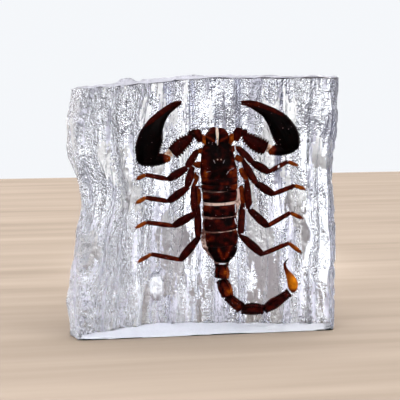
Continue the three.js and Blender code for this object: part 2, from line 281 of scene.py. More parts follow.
def block_points():
    """Row v, column s: wall rows are (footprint + pull + shoulder + relief * outward, z),
    the relief being less the edge chips, the crumbled foot and the struck chip. Cap rows
    shrink the rim towards the middle by (1 - t), t being their share of the way in, and
    the top's are raised by bumps and by the crest."""
    x0, y0, left, right, rough = (ring_values[:, k] for k in range(5))
    level = np.linspace(0, 1, WALL_ROWS)[:, None]
    z = level * (BLOCK_HEIGHT - TOP_SLOPE * np.maximum(0, -x0))
    pull = left * waist(LEFT_WAIST, z) - right * waist(RIGHT_WAIST, z)
    shoulder = ease(0, 1, -x0 / 40) * SHOULDER["depth"]
    shoulder = shoulder * ease(SHOULDER["start"], SHOULDER["end"], z)
    hewn = ease(0, 0.3, rough)
    out = rough * broad_relief(ring_s, z, np.maximum(left, right))
    out = out + hewn * fine_relief(ring_s, z, x0)
    out = out - edge_chips(ring_s, z)
    foot = 1.6 * np.maximum(0, lattice_noise(ring_s / 1.6, z / 1.5, 24)) * np.exp(-z / 1.2)
    out = out - foot * hewn
    out = out - CHIP["depth"] * ease(1.25, 0.85, chip_distance(x0, z)) * (y0 > 0)
    rim = 0.3 * (np.sin(ring_s / 2.7) - 1) + 0.35 * lattice_noise(ring_s / 2.2, ring_s * 0, 16)
    peak = CREST["height"] * np.exp(-(((x0 - CREST["x"]) / CREST["reach"]) ** 2)) * (y0 > 0)
    z = z + np.where(level == 1, np.minimum(rim, 0) + peak, 0)
    wall_x, wall_y = x0 + pull + shoulder + out * ring_out[:, 0], y0 + out * ring_out[:, 1]
    wall = np.stack([wall_x, wall_y, z], axis=-1)
    base_in = np.linspace(0.85, 0, BASE_ROWS)[:, None, None]
    base = wall[:1] * (1 - base_in)
    base[..., :2] += base_in * MIDDLE
    base[..., 2] = 0
    top_in = np.linspace(0.03, 0.95, TOP_ROWS)[:, None, None]
    top = wall[-1:] * (1 - top_in)
    top[..., :2] += top_in * MIDDLE
    tx, ty = top[..., 0], top[..., 1]
    bumps = 0.5 * lattice_noise(tx / 3.5, ty / 3.5, 17) + 0.2 * lattice_noise(tx / 1.2, ty / 1.2, 18)
    hill = (CREST["height"] * np.exp(-((tx - CREST["x"]) / CREST["reach"]) ** 2)) * ease(2, 6, ty)
    level_top = BLOCK_HEIGHT - TOP_DROP - TOP_SLOPE * np.maximum(0, -tx)
    top[..., 2] = level_top + np.minimum(bumps, 0.5) + hill
    return np.concatenate([base, wall, top])


def crinkle_share():
    """How crinkled the surface is, 0 to 1: upright bands of noise, nearly all of the left
    third, and a fringe along the top and the bottom."""
    x, _, z = np.moveaxis(block_grid, -1, 0)
    bands = lattice_noise(ring_s / 4.5, z / 70, 35) + 0.4 * lattice_noise(ring_s / 1.5, z / 30, 36)
    sides = 0.5 * ease(-8, -24, x) + 0.3 * ease(28, 44, x)
    fringe = 0.35 * ease(86, 98, z) + 0.6 * ease(9, 2, z)
    return np.clip(0.18 + 0.9 * bands + sides + fringe, 0.06, 1)


block_grid = block_points()
share = crinkle_share()
resin_block = build_mesh("resin_block", [block_grid], [share])
print("resin block:", len(resin_block.data.polygons), "faces")
print("crinkled share of the surface:", share.mean().round(2))

# %% [markdown]
# Clear resin bends light like acrylic, at about 1.49, and swallows a little of it: a
# block this thick looks faintly lavender. A casting is one stuff that was cut, broken and
# polished in places, so one shader makes every finish, and only roughness, grain, white
# share and tint differ. The front is polished, and its specular tint is black, so that no
# gloss lies over the animal. The hewn sides are bright, with a bump finer than the mesh on
# top of their relief. Scuffed streaks are rougher and lavender, satin flats are a little
# warm, and the flake struck off the back has hardly any grain. The broken top is frosted,
# and its dark grey tint is painted shade that keeps it from shining white. The sawn base is white.

# %% Resin finishes
def new_material(name):
    """A material with one Principled shader, returned with its tree and output."""
    material = bpy.data.materials.new(name)
    material.use_nodes = True
    tree = material.node_tree
    tree.nodes.clear()
    output = tree.nodes.new("ShaderNodeOutputMaterial")
    shader = tree.nodes.new("ShaderNodeBsdfPrincipled")
    tree.links.new(shader.outputs["BSDF"], output.inputs["Surface"])
    return material, tree, shader, output


def add_noise(tree, scale, detail=3.0, stretch=None):
    """Noise on Object coordinates, scale in cells per metre, stretched by a Mapping."""
    place = tree.nodes.new("ShaderNodeTexCoord")
    noise = tree.nodes.new("ShaderNodeTexNoise")
    noise.inputs["Scale"].default_value = scale
    noise.inputs["Detail"].default_value = detail
    source = place.outputs["Object"]
    if stretch is not None:
        mapping = tree.nodes.new("ShaderNodeMapping")
        mapping.inputs["Scale"].default_value = stretch
        tree.links.new(source, mapping.inputs["Vector"])
        source = mapping.outputs["Vector"]
    tree.links.new(source, noise.inputs["Vector"])
    return noise.outputs["Fac"]


def add_math(tree, operation, first, second):
    """One Math node; each input is a socket or a plain number."""
    node = tree.nodes.new("ShaderNodeMath")
    node.operation = operation
    for socket, value in zip(node.inputs, (first, second)):
        if isinstance(value, (int, float)):
            socket.default_value = value
        else:
            tree.links.new(value, socket)
    return node.outputs[0]


def add_bump(tree, shader, height, strength, distance):
    """Bump from a height value; distance is the full height in millimetres."""
    bump = tree.nodes.new("ShaderNodeBump")
    bump.inputs["Strength"].default_value = strength
    bump.inputs["Distance"].default_value = distance * MM
    tree.links.new(height, bump.inputs["Height"])
    tree.links.new(bump.outputs["Normal"], shader.inputs["Normal"])


# How far the hewn chips face upwards: fall of the bump's height, in mm per mm of z.
LEAN = 0.45


def crinkle_height(tree, distance, tilt):
    """Crinkles 1.4 mm across where the share says so, everywhere a fine grain, and upright
    scratches 0.9 mm apart: the sum of three noises, each less its mean. The chips were
    struck from above and all face a little upwards, so the height also falls by tilt mm
    per mm of z; distance, the bump's full height in mm, takes it to the same unit."""
    share = tree.nodes.new("ShaderNodeAttribute")
    share.attribute_name = "tone"
    coarse = add_math(tree, "SUBTRACT", add_noise(tree, 700, 3.0, (1, 1, 0.7)), 0.5)
    grain = add_math(tree, "SUBTRACT", add_noise(tree, 2000, 2.0, (1, 1, 0.8)), 0.5)
    scratch = add_math(tree, "SUBTRACT", add_noise(tree, 1100, 2.0, (1, 1, 0.02)), 0.5)
    scratch = add_math(tree, "MULTIPLY", scratch, add_noise(tree, 230, 1.0, (1, 1, 0.06)))
    crinkle = add_math(tree, "ADD", coarse, add_math(tree, "MULTIPLY", grain, 0.35))
    crinkle = add_math(tree, "MULTIPLY", crinkle, share.outputs["Fac"])
    steady = add_math(tree, "MULTIPLY", grain, 0.10)
    steady = add_math(tree, "ADD", steady, add_math(tree, "MULTIPLY", scratch, 0.55))
    place = tree.nodes.new("ShaderNodeTexCoord")
    split = tree.nodes.new("ShaderNodeSeparateXYZ")
    tree.links.new(place.outputs["Object"], split.inputs[0])
    lean = add_math(tree, "MULTIPLY", split.outputs["Z"], -tilt / (distance * MM))
    return add_math(tree, "ADD", lean, add_math(tree, "ADD", crinkle, steady))


def resin_finish(name, roughness, grain=0.0, white=0.0, tint=(1, 1, 1), mirror=1.0, tilt=LEAN):
    """Transmission 1 - white, index 1.49, and an even absorption in the whole piece. With
    grain there is a crinkle bump of that full height in mm, leaning by tilt. Mirror is the
    grey of the specular tint: 1 leaves the gloss as it is, and 0 blackens it."""
    material, tree, shader, output = new_material(name)
    shader.inputs["Base Color"].default_value = (*tint, 1)
    shader.inputs["Transmission Weight"].default_value = 1.0 - white
    shader.inputs["IOR"].default_value = 1.49
    shader.inputs["Roughness"].default_value = roughness
    shader.inputs["Specular Tint"].default_value = (mirror, mirror, mirror, 1)
    if grain:
        add_bump(tree, shader, crinkle_height(tree, grain, tilt), 1.0, grain)
    volume = tree.nodes.new("ShaderNodeVolumeAbsorption")
    volume.inputs["Color"].default_value = (0.84, 0.865, 0.97, 1)
    volume.inputs["Density"].default_value = 7.0
    tree.links.new(volume.outputs["Volume"], output.inputs["Volume"])
    return material


POLISHED, HEWN, SCUFFED, FROSTED, SAWN, CHIPPED, SATIN = range(7)
for finish in (
    resin_finish("polished_resin", 0.0, mirror=0.0),
    resin_finish("hewn_resin", 0.09, grain=2.2, tint=(0.97, 0.97, 0.98)),
    resin_finish("scuffed_resin", 0.3, grain=1.5, white=0.06, tint=(0.89, 0.86, 1.0), tilt=0.58),
    # Painted shade: the frosted top's dark grey tint keeps the broken top from shining white.
    resin_finish("frosted_resin", 0.5, grain=2.4, white=0.5, tint=(0.37, 0.36, 0.40)),
    resin_finish("sawn_resin", 0.5, grain=0.3, white=1.0),
    resin_finish("chipped_resin", 0.3, grain=0.4, white=0.05, tilt=0.42),
    resin_finish("satin_resin", 0.3, grain=1.2, white=0.1, tint=(1.0, 0.97, 0.90), tilt=0.08),
):
    resin_block.data.materials.append(finish)


def resin_slots():
    """Slot of each face: front polished, base sawn, top frosted and wall hewn. On the wall
    it is scuffed where an upright noise is high, satin where a broader one is, and chipped
    inside the struck flake. In the calm stretch at x -13 both limits are lower."""
    low, up = block_grid[:-1], block_grid[1:]
    middle = (low + np.roll(low, -1, 1) + up + np.roll(up, -1, 1)) / 4
    x, y, z = np.moveaxis(middle, -1, 0)
    slots = np.full(x.shape, HEWN)
    left = ease(5, -35, x)
    lean = ring_s + 0.1 * left * z
    streaks = lattice_noise(lean / 1.7, z / 34, 31) + 0.35 * lattice_noise(lean / 0.8, z / 6.0, 32)
    speckle = 0.35 * lattice_noise(ring_s / 0.7, z / 0.8, 34)
    calm = 0.4 * np.exp(-(((x + 13) / 7.0) ** 2)) * ease(56, 46, z) * ease(6, 12, z)
    slots[streaks + speckle > 0.45 - 0.05 * left - calm - 0.12 * ease(60, 30, z)] = SCUFFED
    flats = lattice_noise(ring_s / 5.5, z / 17, 37) + 0.3 * lattice_noise(lean / 1.2, z / 6.0, 38)
    slots[flats + 0.4 * speckle > 0.42 + 0.15 * left - calm] = SATIN
    slots[(chip_distance(x, z) < 1) & (y > 0)] = CHIPPED
    slots[:, :FRONT_COLUMNS] = POLISHED
    slots[:BASE_ROWS] = SAWN
    slots[-TOP_ROWS:] = FROSTED
    caps = np.repeat([SAWN, FROSTED], x.shape[1])
    return np.concatenate([slots.ravel(), caps])


resin_block.data.polygons.foreach_set("material_index", resin_slots().astype(np.int32))
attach(resin_block, "root")
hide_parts("resin_front", "resin_back")

# %% [markdown]
# The scorpion's skin is horn: black on the hands, mahogany on the limbs and amber where
# it is thin, as at the sting. One finish serves all of it. Each shell carries a tone from
# 0, black, to 1, amber, and the finish blurs that with noise before it picks a colour.
# Inside resin there is no air to make a gloss, so the specular level is very low, and
# small silvery dots painted into the colour stand in for glints of light on the beads.

# %% Horn and membrane finishes
def ramp_colours(tree, value, stops):
    """Colours at places from 0 to 1, drawn straight between."""
    ramp = tree.nodes.new("ShaderNodeValToRGB")
    for k, (place, colour) in enumerate(stops):
        stop = ramp.color_ramp.elements[k] if k < 2 else ramp.color_ramp.elements.new(place)
        stop.position = place
        stop.color = (*colour, 1)
    tree.links.new(value, ramp.inputs["Fac"])
    return ramp.outputs["Color"]


def add_painted_glints(tree, colour, spot, share):
    """Painted glints: silvery dots where the distance to a scattered point is under spot, and
    only in the patches where a slow noise is over share, for small sparkles of light on the horn."""
    place = tree.nodes.new("ShaderNodeTexCoord")
    cells = tree.nodes.new("ShaderNodeTexVoronoi")
    cells.inputs["Scale"].default_value = 620
    tree.links.new(place.outputs["Object"], cells.inputs["Vector"])
    dots = add_math(tree, "LESS_THAN", cells.outputs["Distance"], spot)
    patches = add_math(tree, "GREATER_THAN", add_noise(tree, 260, 2.0), share)
    dots = add_math(tree, "MULTIPLY", dots, patches)
    # On this node, inputs 0, 6 and 7 are the share and the two colours, output 2 the mix.
    mix = tree.nodes.new("ShaderNodeMix")
    mix.data_type = "RGBA"
    tree.links.new(dots, mix.inputs[0])
    tree.links.new(colour, mix.inputs[6])
    mix.inputs[7].default_value = (0.30, 0.20, 0.21, 1)
    return mix.outputs[2]


def centred_noise(tree, scale, detail, gain):
    """Noise less its mean, times gain."""
    centred = add_math(tree, "SUBTRACT", add_noise(tree, scale, detail), 0.5)
    return add_math(tree, "MULTIPLY", centred, gain)


def horn_finish():
    """Tone plus two noises, through a ramp from black by mahogany to amber, and painted glints."""
    material, tree, shader, _ = new_material("scorpion_horn")
    tone = tree.nodes.new("ShaderNodeAttribute")
    tone.attribute_name = "tone"
    mottle = centred_noise(tree, 520, 4.0, 0.55)
    grain = centred_noise(tree, 1900, 2.0, 0.3)
    value = add_math(tree, "ADD", tone.outputs["Fac"], add_math(tree, "ADD", mottle, grain))
    colour = ramp_colours(tree, value, (
        (0.0, (0.0002, 0.0001, 0.0001)), (1.0, (0.76, 0.235, 0.002)),
        (0.2, (0.005, 0.0002, 0.0001)), (0.4, (0.036, 0.0013, 0.0006)),
        (0.6, (0.13, 0.015, 0.0012)), (0.8, (0.36, 0.078, 0.0035)),
    ))
    # Painted glints: silvery dots in the horn's colour stand in for sparkles of light on its beads.
    tree.links.new(add_painted_glints(tree, colour, 0.10, 0.52), shader.inputs["Base Color"])
    shader.inputs["Roughness"].default_value = 0.42
    shader.inputs["Specular IOR Level"].default_value = 0.03
    add_bump(tree, shader, add_noise(tree, 2600, 3.0), 0.35, 0.12)
    return material


def membrane_finish(name, brown, cream):
    """Skin between the plates: its tone takes it from dark brown, 0, to cream, 1, and noise
    blotches it with a lighter brown."""
    material, tree, shader, _ = new_material(name)
    tone = tree.nodes.new("ShaderNodeAttribute")
    tone.attribute_name = "tone"
    blotch = centred_noise(tree, 900, 4.0, 1.6)
    value = add_math(tree, "ADD", tone.outputs["Fac"], blotch)
    colour = ramp_colours(tree, value, ((0.0, (0.035, 0.010, 0.007)), (0.9, cream), (0.55, brown)))
    tree.links.new(colour, shader.inputs["Base Color"])
    shader.inputs["Roughness"].default_value = 0.5
    shader.inputs["Specular IOR Level"].default_value = 0.15
    add_bump(tree, shader, add_noise(tree, 2000, 3.0), 0.5, 0.15)
    return material


def air_glint_finish():
    """Thin films of air caught at the joints, with their silvery reflection painted as a matt colour from
    grey at tone 0 to white at 1.
    """
    material, tree, shader, _ = new_material("glinting_air_film")
    tone = tree.nodes.new("ShaderNodeAttribute")
    tone.attribute_name = "tone"
    patches = add_math(tree, "SUBTRACT", add_noise(tree, 1500, 3.0), 0.5)
    value = add_math(tree, "ADD", tone.outputs["Fac"], patches)
    colour = ramp_colours(tree, value, ((0.0, (0.05, 0.03, 0.035)), (0.8, (0.80, 0.78, 0.84))))
    tree.links.new(colour, shader.inputs["Base Color"])
    shader.inputs["Roughness"].default_value = 0.25
    add_bump(tree, shader, add_noise(tree, 1200, 3.0), 0.8, 0.3)
    return material


horn, glinting_air_film = horn_finish(), air_glint_finish()
membrane = membrane_finish("scorpion_membrane", (0.24, 0.11, 0.085), (0.80, 0.60, 0.50))
pale_skin = membrane_finish("pale_skin", (0.42, 0.20, 0.10), (0.95, 0.76, 0.60))
print("finishes:", horn.name, membrane.name, glinting_air_film.name)

# %% [markdown]
# Every part of the animal is a tube that swells and narrows along a line, so one helper
# makes all of them. A line is a list of stations: place, how far it rises towards the
# front face, half width and half thickness. Between stations a cubic keeps it smooth.

# %% Swept shells
PARTING_Y = -5.5
# Least squared width of a rounded end, which keeps its last ring open.
LEAST_TIP = 0.0004


def along_line(stations, rows):
    """Values at rows places along the stations, closer together at both ends.

    In a gap of length h each value is v0*(1 + 2u)(1 - u)^2 + v1*u^2(3 - 2u)
    + h*(m0*u(1 - u)^2 - m1*u^2(1 - u)), the slopes m being the means of the gaps' own.
    """
    v = np.asarray(stations, float)
    gap = np.linalg.norm(np.diff(v[:, :2], axis=0), axis=1)
    at = np.concatenate([[0], np.cumsum(gap)])
    steep = np.diff(v, axis=0) / gap[:, None]
    slope = np.concatenate([steep[:1], (steep[:-1] + steep[1:]) / 2, steep[-1:]])
    d = at[-1] * (1 - np.cos(np.linspace(0.0, np.pi, rows))) / 2
    k = np.clip(np.searchsorted(at, d, side="right") - 1, 0, len(gap) - 1)
    h, u = gap[k][:, None], ((d - at[k]) / gap[k])[:, None]
    ends = v[k] * (1 + 2 * u) * (1 - u) ** 2 + v[k + 1] * u * u * (3 - 2 * u)
    bends = h * (slope[k] * u * (1 - u) ** 2 - slope[k + 1] * u * u * (1 - u))
    return d, ends + bends


def swept(stations, rows=48, columns=40, square=2.0, caps=(0.6, 0.6), relief=None, back=1.0):
    """Point at distance d and turn a: the line's place + half width * cos(a)^(2/square)
    to its right + half thickness * sin(a)^(2/square) to the back, both rounded off over
    the caps' lengths. Relief is added outwards, and back scales the rear half."""
    d, line = along_line(stations, rows)
    heading = np.gradient(line[:, :2], d, axis=0)
    heading /= np.linalg.norm(heading, axis=1, keepdims=True)
    a = 2 * np.pi * np.arange(columns) / columns
    c, s = np.cos(a), np.sin(a)
    near = np.clip(d / caps[0], 0, 1)
    far = np.clip((d[-1] - d) / caps[1], 0, 1)
    near_round = np.sqrt(np.maximum(1 - (1 - near) ** 2, LEAST_TIP))
    far_round = np.sqrt(np.maximum(1 - (1 - far) ** 2, LEAST_TIP))
    close = near_round * far_round
    wide, thick = line[:, 3:4] * close[:, None], line[:, 4:5] * close[:, None]
    across = wide * np.sign(c) * np.abs(c) ** (2 / square)
    depth = thick * np.sign(s) * np.abs(s) ** (2 / square) * np.where(s > 0, back, 1)
    if relief is not None:
        out = relief(d[:, None], a) * close[:, None]
        lean = np.hypot(c / line[:, 3:4], s / line[:, 4:5])
        across = across + out * c / line[:, 3:4] / lean
        depth = depth + out * s / line[:, 4:5] / lean
    x = line[:, :1] + heading[:, 1:] * across
    z = line[:, 1:2] - heading[:, :1] * across
    y = PARTING_Y - line[:, 2:3] + depth
    return np.stack([x, y, z], axis=-1)


def beads(d, a, girth, pitch, seed):
    """Round beads on a tube of the given girth: 1 at each seed, 0 a third of a pitch off."""
    cells = max(3, round(girth / pitch))
    return np.maximum(0, 1 - 8 * seed_distance(d / pitch, a / (2 * np.pi) * cells, seed, cells))


def keel(d, a, turn, width, pitch=0.0):
    """A ridge along the tube at one turn: exp(-(angle off / width)^2), cut into teeth
    of the given pitch by |sin|."""
    off = np.angle(np.exp(1j * (a - turn)))
    ridge = np.exp(-((off / width) ** 2))
    return ridge * (0.15 + 0.85 * np.abs(np.sin(np.pi * d / pitch))) if pitch else ridge + 0 * d


def add_piece(name, shells, tones, finish):
    """One piece of the animal from shells and their tones; it takes the solid's place."""
    piece = build_mesh(name, shells, tones)
    piece.data.materials.append(finish)
    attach(piece, "root")
    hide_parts("scorpion")
    print(name, "faces:", len(piece.data.polygons))
    return piece


# Turns round a swept tube: its right edge, its left edge and the side towards the front.
RIGHT_EDGE, LEFT_EDGE, FRONT = 0.0, np.pi, 3 * np.pi / 2

# %% [markdown]
# The head shield is one plate, flat-domed and notched in front. It is wider behind than
# in front. Two furrows and a small hill with the pair of middle eyes mark its midline,
# and its rear corners are thin enough to look amber. The notch is made by ending the rows
# on a curve across the shield instead of on a straight line.

# %% Head shield
SHIELD = [
    [6.9, 60.2, 0, 7.0, 3.3], [6.65, 63, 0, 7.35, 3.5], [6.3, 67, 0, 6.95, 3.4],
    [6.1, 71, 0, 6.4, 3.1], [5.95, 75, 0, 5.5, 2.3],
]
EYE_HILL = (6.4, 68.0)
EYES = [(5.7, 68.1), (7.1, 68.1)]
EYE_RISE, EYE_RADIUS = 3.85, 0.24


def shield_relief(x, z):
    """Height over the dome: hill + lobes - furrows + beads, all functions of place."""
    from_mid = x - 6.3 - 0.04 * (67 - z)
    hill = 0.55 * np.exp(-(((x - EYE_HILL[0]) / 1.2) ** 2) - ((z - EYE_HILL[1]) / 1.7) ** 2)
    furrow = 0.4 * np.exp(-((from_mid / 0.35) ** 2)) * ease(66.5, 65, z)
    front_furrow = 0.4 * np.exp(-((from_mid / 0.6) ** 2)) * ease(70, 72.5, z)
    ring = np.hypot(np.abs(from_mid) - 4.3, (z - 62.8) * 1.3)
    corner = 0.3 * np.exp(-(((ring - 1.5) / 0.35) ** 2))
    across = 0.35 * np.exp(-(((z - 61.0) / 0.3) ** 2))
    grain = 0.14 * np.maximum(0, 1 - 9 * seed_distance(x / 0.75, z / 0.75, 41))
    fine = 0.07 * np.maximum(0, 1 - 9 * seed_distance(x / 0.42, z / 0.42, 42))
    return hill - furrow - front_furrow - corner - across + grain + fine


def shield_points():
    """The swept dome with z stretched so that the front rows follow the notched edge."""
    points = swept(SHIELD, 130, 150, 2.7, (0.4, 0.9), back=0.7)
    x, y, z = np.moveaxis(points, -1, 0)
    edge = 75.7 - 1.9 * np.exp(-(((x - 5.9) / 0.85) ** 2)) - 0.055 * (x - 6.0) ** 2
    rear_z, front_z = SHIELD[0][1], SHIELD[-1][1]
    z = rear_z + (z - rear_z) * (edge - rear_z) / (front_z - rear_z)
    front = y < PARTING_Y - 0.4
    y = y - np.where(front, shield_relief(x, z), 0) * ease(0.4, 1.6, PARTING_Y - y)
    return np.stack([x, y, z], axis=-1)


def shield_tone(points):
    """Black in the middle and in front, mahogany at the sides, amber rear corners."""
    x, _, z = np.moveaxis(points, -1, 0)
    from_mid = np.abs(x - 6.5)
    side = 0.27 * ease(2.5, 6.0, from_mid) * ease(74.5, 71, z)
    corner = 0.28 * np.exp(-(((from_mid - 4.9) / 1.5) ** 2) - ((z - 62.6) / 1.3) ** 2)
    return 0.13 + side + corner + 0.16 * lattice_noise(x / 1.3, z / 1.3, 43)


shield = shield_points()
add_piece("head_shield", [shield], [shield_tone(shield)], horn)


def ball(x, z, rise, radius, rows=14, columns=20):
    """A sphere as a short swept tube whose caps meet in the middle."""
    line = [[x, z - radius, rise, radius, radius], [x, z + radius, rise, radius, radius]]
    return swept(line, rows, columns, caps=(radius, radius))


eyes = [ball(x, z, EYE_RISE, EYE_RADIUS) for x, z in EYES]
add_piece("eyes", eyes, [0.75, 0.75], pale_skin)

# %% [markdown]
# In front of the shield stand the two short jaws, side by side like a pair of beads, and
# the pale skin between them shows as a bright wedge. Their lower halves are brown, and
# their tips are darker, with coarse grains.

# %% Jaws
LEFT_JAW = [
    [3.2, 72.6, 0.2, 1.7, 1.9], [3.15, 75.4, 0.3, 2.15, 2.2], [3.35, 77.0, 0.3, 2.05, 2.1],
    [3.9, 78.6, 0.3, 1.6, 1.8], [4.75, 80.6, 0.2, 0.75, 1.2],
]
RIGHT_JAW = [
    [8.4, 72.6, 0.2, 1.8, 1.9], [8.4, 75.4, 0.3, 2.35, 2.2], [8.2, 77.0, 0.3, 2.3, 2.1],
    [7.6, 78.5, 0.3, 1.8, 1.8], [6.75, 80.2, 0.2, 0.85, 1.2],
]
JAW_SKIN = [
    [5.85, 73.5, 2.4, 0.12, 0.5], [5.8, 75.5, 2.5, 0.34, 0.6], [5.75, 77.6, 2.3, 0.58, 0.7],
    [5.7, 79.2, 1.8, 0.62, 0.7], [5.6, 80.6, 1.2, 0.3, 0.5],
]


def jaw_relief(d, a):
    """Coarse beads that fade in from the root, and fine ones all over."""
    return 0.2 * beads(d, a, 12, 0.7, 51) * ease(2.5, 5, d) + 0.05 * beads(d, a, 12, 0.35, 52)


def jaw_tone(points):
    """Dark at the root, an orange arc that rises towards the middle, and reddish tips."""
    x, _, z = np.moveaxis(points, -1, 0)
    arc = 0.34 * np.exp(-(((z - 74.6 - 0.55 * np.abs(x - 5.8)) / 0.7) ** 2))
    return 0.20 + arc + 0.20 * ease(77.4, 78.6, z) + 0.06 * lattice_noise(x / 0.7, z / 0.7, 53)


jaws = [swept(line, 60, 64, 2.3, (0.5, 1.3), jaw_relief) for line in (LEFT_JAW, RIGHT_JAW)]
add_piece("jaws", jaws, [jaw_tone(jaw) for jaw in jaws], horn)
skin = swept(JAW_SKIN, 30, 24, caps=(0.4, 0.8))
add_piece("jaw_skin", [skin], [0.95], pale_skin)

# %% [markdown]
# Behind the shield lie seven back plates. Each is a flat dome whose rear rim stands over
# the front of the next, and pale skin shows where two plates part. Under them a cream
# body fills the gaps, and folds of the same skin bulge out at both flanks.

# %% Back plates
# Joint of two plates: middle x, z, half width, and the gap of skin behind the joint.
PLATE_JOINTS = np.array([
    [6.85, 60.3, 7.0, -0.6], [6.9, 57.7, 7.1, -0.6], [6.9, 55.6, 6.9, 0.0], [7.1, 51.0, 6.5, 0.65],
    [7.15, 45.3, 6.5, 0.08], [7.5, 39.7, 6.5, 0.0], [8.0, 33.6, 6.2, -0.6], [7.8, 27.2, 2.6, 0.1],
])
BODY_THICKNESS = 3.3
PLATE_MIDDLE = 7.2
LAST_PLATE = len(PLATE_JOINTS) - 2


def plate_thickness(half_width):
    """The body's, times 0.35 + half width / 10 where that is under 1."""
    return BODY_THICKNESS * np.minimum(1, 0.35 + half_width / 10)


def plate_relief(x, z, top, bottom):
    """A raised rear rim, a low ridge down the middle, and beads that thicken rearwards."""
    down = (top - z) / (top - bottom)
    rim = 0.16 * ease(0.86, 0.97, down)
    ridge = 0.16 * np.exp(-(((x - PLATE_MIDDLE) / 0.45) ** 2)) * ease(0.1, 0.5, down)
    from_dent = np.abs(x - PLATE_MIDDLE) - 2.4
    dents = 0.12 * np.exp(-((from_dent / 0.7) ** 2) - ((down - 0.35) / 0.16) ** 2)
    grain = 0.11 * np.maximum(0, 1 - 9 * seed_distance(x / 0.62, z / 0.62, 44))
    grain = grain * (0.4 + 0.6 * down)
    return rim + ridge - dents + grain


def plate_tone(x, z, top, bottom, k):
    """Dark rear rim and middle, brown quarters, amber flanks, different on each plate."""
    down = (top - z) / (top - bottom)
    from_mid = np.abs(x - PLATE_MIDDLE)
    brown = 0.2 * lattice_noise(x / 1.9 + 7 * k, z / 1.3, 45)
    amber = 0.26 * ease(3.0, 6.0, from_mid) * (1 - 0.6 * down)
    patch = 0.2 * np.exp(-(((x - PLATE_MIDDLE) / 1.2) ** 2) - ((down - 0.6) / 0.25) ** 2)
    return 0.23 + brown + amber + patch - 0.14 * ease(0.7, 1.0, down)


def back_plate(k):
    """The plate between joints k and k+1, bowed so that its ends reach a little forward."""
    x0, z0, w0, gap = PLATE_JOINTS[k]
    x1, z1, w1, _ = PLATE_JOINTS[k + 1]
    top = z0 - gap
    bulge = 0.85 if k == LAST_PLATE else 0.12
    line = [
        [x0, top, 0, w0 - 0.35, plate_thickness(w0) - 0.25],
        [(2 * x0 + x1) / 3 + bulge / 4, top + (z1 - top) / 3, 0, w0 * 0.67 + w1 * 0.33 + bulge,
         plate_thickness(w0) - 0.05],
        [x1, z1, 0, w1, plate_thickness(w1)],
    ]
    points = swept(line, 44, 150, 2.9, (0.25, 0.45))
    x, y, z = np.moveaxis(points, -1, 0)
    relief = plate_relief(x, z, top, z1) * ease(0.5, 1.8, PARTING_Y - y) * ease(0, 0.5, top - z)
    tone = plate_tone(x, z, top, z1, k)
    z = z + 0.45 * ((x - x1) / 6.5) ** 2 - 0.15
    return np.stack([x, y - relief, z], axis=-1), tone


plates = [back_plate(k) for k in range(LAST_PLATE + 1)]


def last_plate_tone(points, tone):
    """Half the plate's own tone, so that its flanks are dark, plus a heart-shaped patch."""
    x, _, z = np.moveaxis(points, -1, 0)
    heart = np.exp(-(((np.abs(x - 8.5) - 0.6 - (z - 29) * 0.42) / 0.9) ** 2)) * ease(27.8, 28.8, z)
    return tone * 0.5 + 0.40 * heart * ease(5.0, 6.5, x)


plates[LAST_PLATE] = (plates[LAST_PLATE][0], last_plate_tone(*plates[LAST_PLATE]))
add_piece("back_plates", [points for points, _ in plates], [tone for _, tone in plates], horn)

# %% [markdown]
# Under the plates lies soft skin: one cream body that fills the joints, and a wider one
# below it that swells out at the flanks in loose folds. Painting pale lines on the plates
# would be simpler, but real skin lies deeper than the rims, so they shade it.

# %% Skin of the body
under = np.array([
    [x, z + 0.1, 0, w - 0.38, plate_thickness(w) - 0.3] for x, z, w, _ in PLATE_JOINTS[2:]
])
FLANKS = [
    [6.9, 59.5, -1.3, 6.6, 2.4], [7.5, 55.5, -1.1, 7.2, 2.6], [7.8, 52.0, -1.1, 7.6, 2.6],
    [7.4, 48.5, -1.1, 7.1, 2.6], [7.1, 44, -1.0, 6.75, 2.6], [7.1, 40, -1.0, 6.85, 2.6],
    [6.9, 36.3, -1.0, 7.25, 2.5], [7.4, 33, -1.0, 6.3, 2.4], [7.8, 29.5, -0.8, 4.3, 2.2],
    [7.9, 26.4, -0.2, 2.4, 2.2],
]


def skin_relief(d, a):
    """Loose folds across the flanks: ripples whose pitch wanders."""
    fold = np.sin(2 * np.pi * (d / 2.3 + 0.35 * np.sin(d / 1.7)) + 3 * np.sin(a))
    return 0.18 * fold + 0.2 * lattice_noise(d / 1.4, a * 0 + 3 * np.cos(a), 46)


def joint_tone(points):
    """Cream in the widest joint, at z 51, and a broken brownish line in the others."""
    x, _, z = np.moveaxis(points, -1, 0)
    wide = 0.45 * np.exp(-(((z - 50.6) / 1.5) ** 2))
    return 0.50 + wide + 0.25 * lattice_noise(x / 1.6, z / 4, 47)


def flank_tone(points):
    """Pale on the right down to z 40, and on the left brownish, lighter at the low fold."""
    x, _, z = np.moveaxis(points, -1, 0)
    right = 0.45 * ease(7, 9, x) * ease(38, 44, z)
    fold = 0.3 * np.exp(-(((z - 35.5) / 2.5) ** 2)) * ease(7, 5, x)
    return 0.45 + right + fold + 0.2 * lattice_noise(x / 1.2, z / 1.2, 48)


joints = swept(under, 90, 90, 2.9, (0.4, 0.4))
flanks = swept(FLANKS, 150, 90, 2.0, (1.0, 0.6), skin_relief)
add_piece("body_skin", [joints, flanks], [joint_tone(joints), flank_tone(flanks)], membrane)
